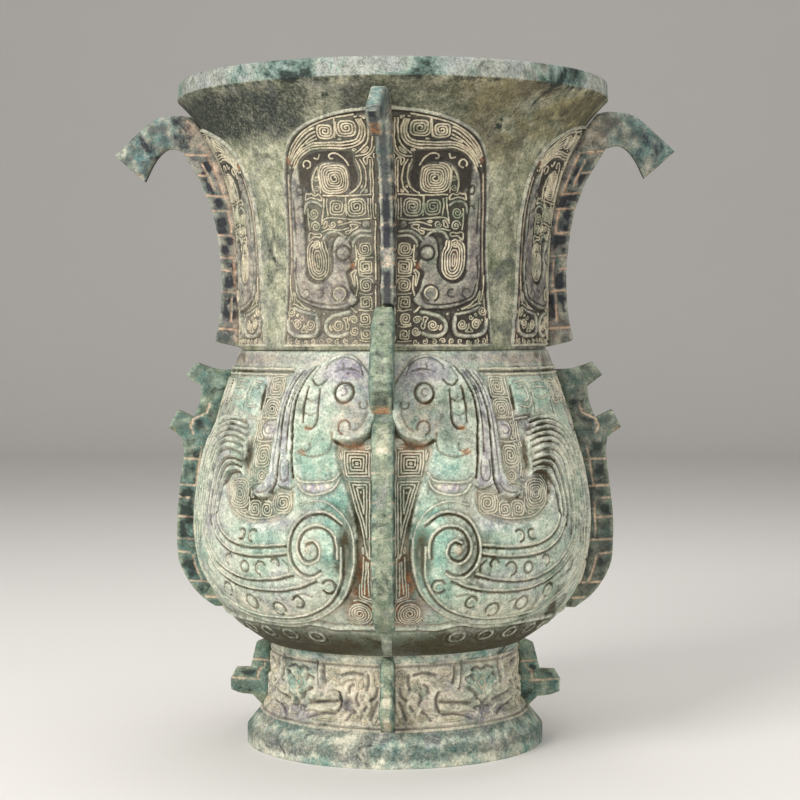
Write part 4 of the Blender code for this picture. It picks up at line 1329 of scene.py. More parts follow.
    def head(self, art: Ornament) -> None:
        """Shape the head: eye, brow, beak, ear and neck collar."""
        art.stain((15, 109), 15.0, 8.0, lilac=1.0)
        art.stain((8, 100), 7.0, 14.0, lilac=0.5)
        art.stain((12, 90), 9.0, 6.0, lilac=0.4, rust=0.25)
        eye = (14.7, 100.6)
        art.groove(arc(eye, 3.5, 0, 360), 0.62, 1.0, 0.9)
        art.dome(eye, 3.0, 0.7)
        art.stain(eye, 3.2, 3.2, lilac=1.0, dust=0.4)
        art.groove(arc(eye, 1.3, 20, 300), 0.34, 0.3, 0.7)
        art.dome(eye, 0.5, -0.4)
        art.grooves("""8.4 107.4 10 111 13 112.9 17 113.6 21 112.6 23.5 110.6
            10 108.4 13 109.2 17 109 19.4 108
            16.4 111 16.6 108.8
            13.8 107.6 14.6 107.2
            23.4 110.6 23.6 109
            26.4 110.2 27.6 108.4 28.6 106.4""", 0.36, 0.45, 0.75)
        art.groove(arc((7.3, 96.8), 1.5, 130, 395), 0.36, 0.5, 0.8)
        # Painted shadow in the sunk ground under the beak, by the flange.
        art.dish(trace("2.6 93.4 3.2 90 4.8 86.8 7.4 84.4 5 83.6 2.6 83.8"), 1.0, 0.8, dark=0.9, rust=0.3)
        beak = trace("3.8 94.4 4.6 90.6 6.2 87.4 8.8 85.6 11.8 84.9 14.6 85 16.6 86")
        art.ridge(beak, 1.2, 0.8, dust=0.3)
        # Painted shadow under the beak's ridge.
        art.groove(shifted(beak, -1.6), 0.8, 0.9, 1.0)
        art.groove(arc((13.8, 88.9), 2.3, -70, 200), 0.42, 0.6, 0.85)
        art.groove(trace("6 95 6.8 91.8 8.2 89.2 10.4 87.6"), 0.36, 0.4, 0.6)
        # Painted shadow under the beak, over the top of the column.
        art.stain((9, 82.4), 9.0, 3.0, rust=0.5, dark=1.0)
        art.stain((14.5, 96), 5.0, 2.2, rust=0.5)
        art.groove(trace("22.4 105.2 24 103.7 26.5 103.5 28.6 105.4"), 0.46, 0.65, 0.95)
        art.groove(trace("24.5 102 24.2 96 24.2 91 26 88.4 28.4 88.6"), 0.46, 0.7, 0.95)
        art.groove(trace("29.4 103 29.9 97 29.8 90.4"), 0.46, 0.7, 0.95)
        for level in (98.6, 93.8):
            art.groove([(24.8, level), (27, level - 1.0), (29.2, level)], 0.3, 0.4, 0.6)
        art.stain((27.6, 88.6), 2.2, 1.4, rust=0.8)
        art.stain((28.6, 80.4), 2.6, 1.6, rust=0.7)
        art.groove(arc((27.6, 82.4), 1.8, 150, 330), 0.36, 0.5, 0.7)
        art.groove(trace("18.5 87.4 18.4 83 20 80.4 25 78.9 30 80.4"), 0.36, 0.45, 0.7)
        art.thread(trace("14.8 74 16.6 71.6 20 70.6 25 70.4 28.4 70.8 29.8 71.8"), 0.42, 0.45)
        art.thread(trace("14.9 71.6 16.6 68.4 20 66.7 24 66.3 27.4 67.4 29.4 70"), 0.42, 0.45)
        art.stain((22, 68.6), 7.0, 1.9, lilac=1.0)
        for dot in ((18.5, 69.4), (22, 68.7), (24.9, 68.6)):
            art.dome(dot, 0.8, 0.35)
            art.stain(dot, 1.2, 1.2, dust=1.0)

    def crest(self, art: Ornament) -> None:
        """Raise the long plumes behind the head, parted by deep cuts."""
        art.paint(eased(art.depth(self.CREST, 1.5) / 1.5), lilac=0.75)
        art.grooves("""28.2 111 31 107 33 102 34 98 34.2 94 33.8 89 33.2 85 32.7 80 32.2 76 31.6 72
            33.6 109.2 35.5 106 37.4 102.5 38.5 98 39.2 94 38.8 86 38.4 80 38.2 74 39 70 41.2 66.6
            38.2 109 40 106.4 41.6 102 42.6 97 43.2 90 43.3 80 43 73.4""", 0.62, 1.3, 1.0)
        art.grooves("""30.4 110 33 106 34.9 101 35.7 97 35.8 92 35.5 86 35 80
            31.8 109.6 34.2 105.4 36 100.6 36.9 96
            36 108.4 38.6 104 40.2 99 40.9 93 40.7 80 40.8 73.6
            33.6 77.6 33.4 73.4 34.4 71.2 36.2 70.8 37 72.4 36.8 77.4
            31 69.3 33 68.2 36 68.2 38 69.4
            40.6 69.6 43 67.2 46.5 66.4 49 67""", 0.34, 0.55, 0.8)
        art.stain((37, 106), 4.0, 5.0, dark=0.4)

    def tail(self, art: Ornament) -> None:
        """Cut the bands of the tail that turns up behind the body."""
        bands = traces("""57 72.4 61 73 64.6 72 66.4 69 67 64 66.6 58
            56.5 74.6 62 75.4 66 74.2 68.2 70.6 68.8 64 68.4 57.5
            57 76.6 62 77.4 66.6 76.6 69.6 73 70.6 67 70.5 58 69.4 54
            58 79.2 63 80.2 68 79.8 71.7 77.2 73.3 72 73.7 64 73.4 56 72 51
            57.6 81.6 63 82.8 68.5 82.4 72.7 79.4 75 74 75.8 66 75.6 57 74 50
            57.5 83.6 62 84.8 69 84.7 74.2 81.6 77 76 78.1 68 78 58 76.6 49.5
            58 85.8 64 87 70 86.8 75.8 84 79.1 78 80.5 70 80.5 58 79 48
            59.5 88.2 65 89 71 88.8 77 86.2 81.2 80 83 71 83 58 81.2 46.4
            61 90.2 66 90.9 72.5 90.7 79 88 83.6 81.6 85.8 72 85.8 58 83.8 45""")
        for number, band in enumerate(bands):
            art.groove(band, 0.55, 0.85, 0.95 if number < 3 else 0.7)
            art.thread(shifted(band, 1.05), 0.34, 0.3, 0.0)
        art.stain((69, 64), 8.0, 17.0, lilac=0.6, dark=0.3)
        art.stain((67, 88), 12.0, 4.0, lilac=0.5, dark=0.25)
        # Painted shade, dimming the lit front edge of the tail.
        art.stain((55.2, 79), 2.6, 9.0, dark=0.85)
        art.dome((82, 51), 3.4, -0.6, soft=True)
        art.stain((82, 50), 5.0, 4.5, dark=0.75)
        art.stain((83, 66), 6.0, 12.0, teal=0.6)

    def thunder(self, art: Ornament) -> None:
        """Fill the ground with thunder-pattern coils and the lines beside the flange."""
        art.stain((48, 88), 7.0, 24.0, dust=0.5, dark=0.6)
        art.stain((48, 62), 19.0, 7.5, dust=0.5, dark=0.6)
        art.swell(trace("43.8 90.8 46 91.6 49 90.8 50.2 88.3 49 85.8 46 85.2 44 86"), 0.7, 0.6, lilac=0.9)
        art.groove(trace("46 89.8 48.2 89.6 49 88.2 47.8 86.8 46.2 87"), 0.34, 0.4, 0.7)
        plaque = trace("55 93.4 54.6 106 66 106.4 79 106 79.4 98 70 95 62 93.6")
        art.swell(plaque, 0.45, 0.8, 0.2, 4.0, teal=0.5)
        art.grooves("""54.2 95.4 54.1 99 54.3 103.4
            65.5 94.4 65.6 97.4 65.2 100.8
            80.4 93.4 80.2 97 80.4 101""", 0.6, 0.8, 1.0)
        art.strands("""56.4 104.6 62 105.2 64.6 103.4 64.4 98 61.6 95.8 57 96.2
            57.6 102.8 61.4 103.2 62.8 101 62.4 98.6 59.8 97.8
            67 104.8 73 105.2 78 104.6
            67 102.4 71 103 77.4 102.4
            67.4 99.6 72 98.6 77.6 99.8
            53 91.6 56 92 60 92.2""", 0.3, 0.5, 0.35)
        coils = [((36.5, 63.5), 3.9, Shape.SOFT, 1.0), ((43.4, 61.0), 2.6, Shape.SOFT, 1.0),
                 ((49.0, 60.9), 2.8, Shape.SOFT, 1.0), ((57.8, 66.0), 5.5, Shape.SOFT, 0.97),
                 ((47.4, 103.6), 3.9, Shape.SQUARE, 1.0), ((47.4, 95.4), 4.1, Shape.SOFT, 0.95),
                 ((48.0, 79.2), 4.0, Shape.SOFT, 1.1), ((47.2, 72.4), 2.6, Shape.ROUND, 0.9),
                 ((86, 101), 4.2, Shape.SOFT, 1.2), ((97, 101), 5.0, Shape.SQUARE, 1.1),
                 ((9.0, 25.9), 4.6, Shape.ROUND, 1.0)]
        for level in range(7):
            coils.append(((102.6 - 0.1 * abs(level - 3), 90 - 9.4 * level), 4.2, Shape.SQUARE, 1.05))
        for number, (centre, radius, shape, tall) in enumerate(coils):
            way = -1 if number % 2 else 1
            art.coil(centre, radius, shape, 70.0 * number, tall, 0.92, way=way, shade=0.65)
        art.strands("""44 99.5 48 99.8 52.2 99.4
            43.9 92.3 48 92.6 52.4 92.2
            43.8 84.4 48 84 52.8 84.4
            52.2 107 52.4 100 52.6 92 52 84
            51.6 83 52.4 78 51.6 72
            50.4 82.8 51.2 78 50.4 73.4
            44.6 69.6 47.6 69.9 50.4 69.4 52.6 68
            51 70.8 53 70.4
            44.2 106.8 43.4 103 43.8 99.8
            33 66.8 34.2 61.8 37 59.9 43.4 58 50 57.6 56 58.5 61.4 61.5 63.4 65.4 63.8 68.6 61 72
            40 66 41 63.4 43 64
            46.3 63.2 46 60 46.4 58.4
            52.4 64.8 51.8 61.6 52.6 59
            53.6 91 53.4 86 54 82
            91.6 106 91.4 98
            80.8 106 81 102""", 0.3, 0.75, 0.6)
        for ground in traces("""43.6 69 53.4 69 53.6 107 43.4 107
            32.6 61 42 57.4 56 57.8 63.6 64 64 72 58 72.6 52 68 44 64.6 35 67"""):
            art.echo(ground, 0.92, 0.26, 0.75, 0.6)
        art.nest(trace("4.4 72.6 13.2 72.6 14.4 77 14.6 82 4.6 82"), tone=0.75)
        art.nest(trace("4.2 71.8 12.8 71.8 10.4 64.5 7.8 56 6.4 49 5.4 45 4.2 45"), tone=0.5)
        art.nest(trace("3.7 30.8 8.2 32.6 7.6 40 7.2 47 5.6 48 4.6 46 3.7 50"), tone=0.4)
        beside = trace("""2.8 22 9 20.6 15 22 8.4 38 8.2 46 8.5 56 10.6 64.5 13.6 72 15.8 78 16.6 82.6
            2.8 83.2""")
        art.echo(beside, 0.86, 0.27, 0.55, 0.8)
        art.stain((6.4, 40), 4.5, 14.0, dark=1.0, rust=0.3)
        art.stain((7, 62), 6.0, 16.0, dark=1.0)
        art.stain((8.5, 78), 8.0, 9.0, dark=0.95)
        art.stain((7.5, 27), 8.5, 9.0, rust=0.45, dark=0.9)
        art.stain((7.5, 36), 4.5, 8.0, rust=0.6, dark=0.9)

    def borders(self, art: Ornament) -> None:
        """Lay the border lines, and the scallops under the lower one."""
        art.thread(trace("40.5 109.9 60 109.9 90 109.8 109 109.9"), 0.46, 0.75)
        art.groove(trace("40.5 108.9 60 108.9 90 108.8 109 108.9"), 0.5, 0.4, 0.9)
        art.thread(trace("42.5 107.8 60 107.9 90 107.8 109 107.9"), 0.4, 0.75)
        low = trace("2.6 19.6 12 19.6 20 19.2 26 20.6 31 20.8 36 19.4 48 18.8 62 19 80 18.6 95 19 109 18.8")
        art.ridge(low, 1.2, 0.9, dust=0.5)
        art.groove(shifted(low, -1.7), 0.8, 0.4, 0.8)
        art.groove(shifted(low, 1.5), 0.5, 0.3, 0.5)
        for s in (30.0, 43.5, 57.0, 70.5, 84.0, 97.5):
            art.groove(arc((s, 13.4), 4.4, 0, 360, 0.8), 0.55, 0.5, 0.6)
            art.ridge(arc((s, 13.4), 3.3, 0, 360, 0.8), 0.6, 0.4, dust=0.3)
            art.groove(arc((s, 13.4), 1.9, 0, 300, 0.8), 0.45, 0.4, 0.5)
        art.stain((55, 7), 110.0, 17.0, dark=1.0)
        art.stain((75, 113.6), 60.0, 3.6, dust=0.5, dark=0.4, lilac=0.6)

    def line(self) -> np.ndarray:
        """Outer edge of the belly, upwards."""
        return self.walls.belly_line()


@dataclass
class NeckLeaves(Register):
    """Four tall leaves on the neck, each parted by its flange."""

    round_mm: float = 57.0
    stem: str = "leaf"
    node: str = "neck_leaf"
    thread_finish: str = "leaf_thread"

    PLACES = HALVES
    EDGE = trace("""2 84 6 83.4 10 82.8 15 81.6 20 79.8 25 77.3 29 74.2 31.9 70.4 34 66 35.3 61 36.2 55.4
        36.8 49.5 37.1 43 37.3 36 37.5 30 37.9 22 38.5 15 39.3 8 40 1.6""")

    def draw(self) -> Ornament:
        """Draw the half of a leaf on the right of its flange."""
        art = Ornament(1.6, 42.0, 0.4, 86.4, 0.38, -0.5)
        edge = spline(self.EDGE, 0.7)
        outline = [(0.0, 84.0)] + [tuple(place) for place in edge] + [(0.0, 1.6)]
        art.swell(outline, 1.0, 0.5, sharp=True, dark=0.8, dust=0.3)
        art.ground = 0.5
        border = [tuple(place) for place in edge[::3]]
        art.band(shifted(border, -0.5), 0.45, 0.6, dust=0.4, dark=0.1)
        art.groove(shifted(border, -1.5), 0.6, 0.3, 1.0)
        art.band(shifted(border[22:], -2.3), 0.4, 0.35, rust=0.5, dust=0.9)
        self.arch(art)
        self.recess(art)
        self.row(art)
        self.bird(art)
        self.foot(art)
        art.echo([(2.7, 82.6)] + shifted(border, -2.0) + [(39.0, 2.6), (2.7, 2.6)])
        art.stain((16, 4), 26.0, 8.0, dust=0.8)
        return art

    def arch(self, art: Ornament) -> None:
        """Fill the leaf's round top."""
        art.coil((10.6, 76.2), 3.2, Shape.SOFT, 40, 1.02, 0.86)
        art.coil((17.1, 75.4), 2.8, Shape.SOFT, 200, way=-1, pitch=0.86)
        art.strands("""13.7 80 14.1 76 14.4 72.8
            7.6 81.2 13.5 80 18.5 78.5 22.9 76.3 26.6 73.4 29.8 69.9 31.6 66.7
            20.2 76.8 23 75.3 26.2 72.6 29 69.4 31.2 66.2
            20.2 75.4 22.8 74 25.8 71.6 28.8 68.6 30.8 65.8
            20.2 74 22.6 72.8 25.2 70.9 28.2 68 30.4 65.4
            20 72.8 22.4 71.9 24 71.2
            4.2 80 4.2 76 4.7 71.6 6.2 69.1 8.6 67.2
            3.2 80 3.3 72 4.2 68 6.4 66.4 8.8 66.2""")
        art.strands("""
            7.4 79.4 6.7 75.6 7.4 73 9.2 71.6 13.5 71.1 18.5 71.2 22.2 71 26 69.2 29.3 66.4 31 64.4
            6.7 79.5 6 75.4 6.8 72.3 8.9 70.6 13.5 70.1 18.5 70.3 22.6 70 26.3 68.1 29.2 65.4 30.6 62.9
            6.0 79.6 5.2 75.2 6.1 71.7 8.6 69.6 13.5 69 18.5 69.3 22.9 68.9 26.6 66.9 29 64.3 30 61.4
            """, 0.36, 0.9, 1.0)
        art.stain((31.4, 65.6), 1.8, 2.0, rust=0.6, dust=1.0)

    def recess(self, art: Ornament) -> None:
        """Sink the ground round the great coil, and lay the coil, its plume and the brackets beside it."""
        hollow = trace("""9.6 67.6 13.5 68.2 20 68.2 24.6 67.2 27.8 64.2 28.6 60 28.2 56 26.4 54 24.8 54.6
            24.8 58 23.4 61.6 20.6 63.8 16.3 64.2 12.4 62.8 11.2 59 11.6 54.4 9.8 54.4 8.4 57
            8.2 60 9.2 64""")
        art.dish(hollow, 0.35, 0.8, dark=1.0)
        art.stain((26.2, 61), 4.4, 8.0, teal=1.0)
        art.coil((16.4, 58.6), 5.2, Shape.SOFT, 80, 1.02, 0.78, 0.3, 0.95, shade=1.0)
        art.strands("""11.2 62.8 12.4 65.2 14.1 66.8 15.8 67.2 17.2 66.5 17 65.3 16 65.5
            20.3 67.2 21.2 65.4 22.5 65.9
            8.8 65.4 7.7 62.3 7.3 59.1 8.2 56 10.2 54 11.6 53.4
            7.5 65.2 6.1 62.2 5.6 59.1 6.1 55.6 7.8 53.4
            4.4 65 4.2 59 4.4 53.6
            21.5 62.8 23 61 24.2 58.5 24.5 55.4 23.9 53.6
            21.7 62 21.7 58 21.6 53.6
            4.2 53 12 52.7 21 52.9""", 0.3, 0.9)
        art.thread(arc((25.4, 63.8), 1.4, -40, 280), 0.3, 0.9, 0.3)
        art.coil((22.7, 58.8), 1.1, pitch=0.66, girth=0.22, tone=0.4)
        art.coil((23, 55.5), 1.2, pitch=0.66, girth=0.22, tone=0.4)
        stem = trace("""28.6 64.4 30.4 62.6 31.8 60.6 32.9 56 33.6 50 34 42 34.3 33 34.2 27 33.2 21 31.4 18
            28.4 20 28.2 27 28.6 34 28.6 44 28.8 49 28.6 56""")
        art.swell(stem, 0.6, 0.7, 0.1, 2.0, lilac=1.0, dark=0.35)
        art.groove(stem[-5:] + stem[:12], 0.5, 0.3, 1.0)
        art.stain((31.4, 48), 4.0, 15.0, teal=0.9)
        art.grooves("""28.4 54.2 29.4 56.6 30.4 55 29.6 53.4 28.6 54
            32.3 52 32.4 46 32.4 40
            28.8 48.8 29.8 49.6 31 48.4
            32.6 32 33 26.4 32.2 21""", 0.4, 0.45, 0.95)

    def row(self, art: Ornament) -> None:
        """Lay the row of coils over the small bird."""
        art.coil((9.3, 48.8), 3.5, Shape.SOFT, 20, 0.96, 0.88, tone=0.6, shade=0.95)
        art.coil((16.2, 48.8), 2.9, Shape.SOFT, 160, 1.02, 0.88, tone=0.4, way=-1, shade=0.9)
        art.coil((24.8, 46.8), 2.0, pitch=0.85, tone=0.3, shade=0.7)
        art.coil((24.4, 42.4), 1.8, pitch=0.85, tone=0.4, way=-1, shade=0.8)
        art.coil((18, 43), 1.3, pitch=0.7, girth=0.24, tone=0.4)
        art.strands("""4.4 51.6 4.5 48 4.4 45
            5.3 51.8 5.4 48.6 5.3 45.4
            12.9 52.2 13 48.6 12.8 45.6
            19.6 51.8 19.8 48.6 19.4 45.8
            20.6 52 21 48.8 21.6 45.6 22 43
            26.8 48.6 27.2 45 26.8 41
            4.2 44.8 10 44.4 16 45 20 45.2 22 44
            8 43.2 11 43.6 14 43 16 42.4
            12 41.6 15.6 41 19.4 41.4 22.4 40.6""", tone=0.45)
        art.stain((23, 46), 9.0, 8.0, teal=1.0)
        art.band(trace("21.8 49.4 23.6 50.6 26 50.8 27.8 49.6 28.4 47"), 0.42, 0.55, teal=0.4, wear=0.5)
        art.dome((6.3, 42.8), 1.3, 0.5)
        art.groove(arc((6.3, 42.8), 1.6, 0, 360), 0.35, 0.3, 0.9)

    def bird(self, art: Ornament) -> None:
        """Raise the small bird: eye, crest, smooth body and breast ring."""
        body = trace("""9.2 17.4 11.6 21 12.4 24 13.2 26.4 11.2 28.6 12 32 11.6 35.6 13.4 38.4 15.6 39.2
            17.6 37.6 18.4 34 18.2 30 18.6 27 20.6 24.4 24 23.2 27 24.4 28.6 27 32 26.6 33.4 22 32.4 18.6 30
            16.8 26 15.2 20 14 14 14 10.8 15.4""")
        art.swell(body, 0.7, 0.7, 0.3, 4.0, lilac=1.0, dark=0.4)
        art.groove(body[-3:] + body[:17], 0.5, 0.35, 1.0)
        art.groove(body[20:] + body[:1], 0.5, 0.35, 1.0)
        art.stain((14.6, 32), 4.6, 7.5, teal=0.9)
        art.stain((11, 22), 3.0, 6.0, teal=0.7)
        art.groove(trace("12 20 13.4 16.6 17 15.6 22 16 27 17 31 19 32.4 23"), 0.42, 0.4, 0.9)
        eye = (14.4, 33.2)
        art.groove(arc(eye, 2.5, 0, 360), 0.55, 0.6, 1.0)
        art.dome(eye, 1.8, 0.35)
        art.dome(eye, 0.7, 0.35)
        art.stain(eye, 1.0, 1.0, dust=1.0)
        art.stain((11.4, 28.8), 1.4, 1.4, rust=0.9)
        for line in traces("""4.8 40.4 8.5 40.6 11.4 38.9 12.9 37.2
            4.6 38.8 8.2 39 10.4 37.4 11 35.6
            13.5 38.4 16 40.3 18.5 40.6 20.6 39.6 21.9 37 22.2 34.4"""):
            art.band(line, 0.45, 0.6, teal=0.3, wear=0.5)
        art.groove(trace("16.8 38.4 18.6 38.8 20 37.6 20.4 34.4 20.4 29"), 0.45, 0.4, 1.0)
        plume = trace("""21.2 37.4 20.8 34.8 20 33 19.8 29 20.4 26.4 22.2 24.6 24.8 24.6 26.9 26.4 27.9 30
            27.9 34.4 27 36.6 25.6 37.6""")
        for k in range(3):
            art.thread(shifted(plume, 0.95 * k), 0.3, 0.9, 1.0)
        art.coil((24.4, 36.6), 1.6, pitch=0.75, tone=1.0)
        art.stain((24.6, 31), 2.6, 4.0, rust=0.55, dust=0.8)
        for k, (centre, radius) in enumerate((((6.8, 34.6), 2.5), ((6.6, 28.4), 2.6), ((6.4, 22.2), 2.4),
                                              ((6.6, 16.4), 2.2), ((7.0, 10.8), 2.1), ((6.4, 5.6), 1.8))):
            shape = Shape.SQUARE if k % 2 else Shape.SOFT
            art.coil(centre, radius, shape, 80 * k, pitch=0.8, tone=0.7, shade=0.9)
            below = centre[1] - radius - 0.55
            art.thread([(4.0, below + 0.1), (6.6, below - 0.1), (9.0, below + 0.3)], 0.26, 0.7, 0.9)
        art.strands("""3.0 44 3.2 34 3.0 24
            3.0 22 3.2 14 3.0 6
            10 36 9.8 32 10.2 28.8
            9.8 25.6 9.4 22 10 18.6
            9.4 31.4 10 30.4 10.8 30.4""")
        art.groove(arc((15.6, 19.5), 2.8, -60, 250), 0.45, 0.45, 0.9)
        art.thread(arc((15.6, 19.5), 2.1, -70, 240), 0.3, 0.7, 0.0)
        art.groove(arc((22.9, 19.6), 1.3, 60, 300), 0.4, 0.4, 0.9)
        art.groove(arc((28.4, 19.6), 1.5, 20, 260), 0.36, 0.4, 0.8)
        art.stain((26.4, 16.6), 1.3, 1.3, dark=1.0)
        art.stain((15.6, 19), 2.4, 2.4, teal=0.6)

    def foot(self, art: Ornament) -> None:
        """Lay the small bird's feet and the curls along the lower edge."""
        claw = trace("12.6 13.2 15.6 12.5 18.6 11.7 20.8 9.8 21 7 19 5.2 15.8 4.9 13 5.8")
        art.band(claw, 0.7, 0.75, teal=0.4, wear=0.5)
        art.groove(shifted(claw, 1.1), 0.45, 0.3, 0.9)
        cup = trace("24.6 11.4 24.1 8 25.2 5.6 29 5 33.5 5.3 36.4 7 37 10.4")
        art.band(cup, 0.75, 0.8, lilac=0.6)
        art.groove(shifted(cup, -1.3), 0.5, 0.35, 1.0)
        art.band(trace("24.8 12.4 28 12.9 31 13.6 34 14.8"), 0.5, 0.6, lilac=0.4, wear=0.4)
        art.groove(trace("23 14.2 23.2 11 23.2 7.4 24 5"), 0.5, 0.4, 1.0)
        art.coil((27.2, 9), 1.9, pitch=0.8, tone=1.0)
        art.coil((32.8, 9), 1.9, pitch=0.8, tone=1.0, way=-1)
        art.coil((35.2, 13.6), 1.7, pitch=0.8, tone=0.9)
        art.coil((30.6, 11.4), 1.0, pitch=0.7, girth=0.24)
        art.coil((16.4, 8.6), 2.0, pitch=0.8, tone=0.8)
        art.coil((10.9, 10.4), 1.5, pitch=0.75, tone=0.7, way=-1)
        art.coil((10.5, 6.6), 1.6, pitch=0.75, tone=0.8)
        for k in range(9):
            art.coil((10.4 + 3.2 * k, 3.0 + 0.2 * (k % 2)), 1.1, pitch=0.7, girth=0.25, spin=60 * k, tone=0.9)
        art.strands("""34.6 17 35.4 21 35.6 26
            12 15 10.6 13.6 9.6 13""")
        art.band(trace("2.4 1.9 20 1.8 39 1.9"), 0.5, 0.5, dust=0.9)

    def line(self) -> np.ndarray:
        """Outer edge of the neck, upwards."""
        return self.walls.neck_line()


@dataclass
class FootFrieze(Register):
    """A worn frieze of curling lines round the foot."""

    round_mm: float = 46.0
    stem: str = "frieze"
    node: str = "foot_frieze"
    thread_finish: str = "leaf_thread"
    middle: float = 36.1

    def faced(self, points: Points, flip: bool) -> Points:
        """Turn a path over for the facing half, where flip says so."""
        return mirrored(points, self.middle) if flip else points

    def draw(self) -> Ornament:
        """Draw one quarter, as two facing halves."""
        art = Ornament(2.2, 70.0, 13.4, 38.2, 0.4, 0.5)
        cuts = traces("""24.1 36.2 24.2 33.6 23.4 30.6
            26.9 37.6 26.6 33 25.8 28.4
            17.8 27.6 17 25.4 17.2 23 18.2 20.8
            18.6 24.2 22 23.8 26 23.3 30.6 22.6
            19 19.8 23 19.6 27 18.6 30 17
            3.6 29.4 4.6 26.4 6.2 25.2
            3.8 24.4 5 21.4 6 18.2
            7.6 22.9 8.6 21.6
            7.2 33.8 7 31 7.6 28.8
            11 27.2 11.6 25.4 10.6 23.4
            29 31.4 31 32.2 32.6 30.4
            29.4 28 31.4 26.8 33.2 25
            35 22.4 37.4 21.2 40 20.6
            33.4 24.2 35 22.8 35.4 20
            31 34.2 33.6 35 36 34
            9 34 13 34.6 17 33.6
            12.6 30.4 14 29.4 14.2 27.6
            11.6 21 13.6 19.4 14.6 17.6""")
        ridges = traces("""20.6 28.9 18.2 28.8 16.3 27.4 15.4 25 15.6 22.4 16.6 20.4 18 19
            17.8 25.6 20 25.7 23.4 25.1 27 24.7 30 25 32 26.6 33.8 26.2
            18.2 21.9 21.4 21.6 25 20.8 29 21 32 19.6 33.2 17.2
            25.5 36.6 25.4 33 24.7 29.4
            28.2 29.8 30 28.8 32.6 27.6 34.4 25.4 34.4 22
            29 33.2 31.4 33.8 33.8 32
            7.2 20.6 6.6 23.4 6.9 26.4 8.4 27.6 10 26.8
            12.4 33 15.4 32.4 17.6 30.6
            9.6 19.6 11.6 22.6 13.6 22.2""")
        lobe = trace("19.4 26.8 20.6 30.4 22.6 33.4 27.8 33 29 28.4 26 26.2")
        for flip in (False, True):
            art.swell(self.faced(lobe, flip), 0.35, 1.2, lilac=0.4)
            for line in ridges:
                art.ridge(self.faced(line, flip), 1.1, 1.15, wear=0.3)
            for cut in cuts:
                art.groove(self.faced(cut, flip), 0.7, 1.0, 0.75)
            art.ridge(self.faced(arc((8.9, 25.2), 0.9, 0, 300), flip), 0.5, 0.5)
            art.coil(self.faced([(11, 18.8)], flip)[0], 1.9, Shape.SOFT, 40, 0.8, 1.1, shade=0.3)
            art.thread(self.faced(trace("17.6 31 20.5 32.4 22.4 31.4"), flip), 0.36, 0.7, 0.3)
        for level in (14.7, 36.8):
            art.groove([(2.4, level), (20, level + 0.2), (50, level - 0.1), (69.8, level)], 0.6, 0.7, 0.55)
        art.echo([(2.6, 15.6), (69.6, 15.6), (69.6, 36.0), (2.6, 36.0)], 1.25, 0.3, 0.6, 0.3)
        art.stain((8, 26), 26.0, 20.0, dust=0.7)
        art.stain((64, 26), 26.0, 20.0, dust=0.5)
        art.stain((36, 30), 14.0, 8.0, teal=0.7)
        art.stain((36, 18), 12.0, 4.0, lilac=0.8, dark=0.3)
        art.stain((14, 23), 5.0, 4.0, lilac=0.6, dark=0.3)
        return art

    def line(self) -> np.ndarray:
        """Outer edge of the foot, upwards."""
        return self.walls.foot_line()


# Flanges


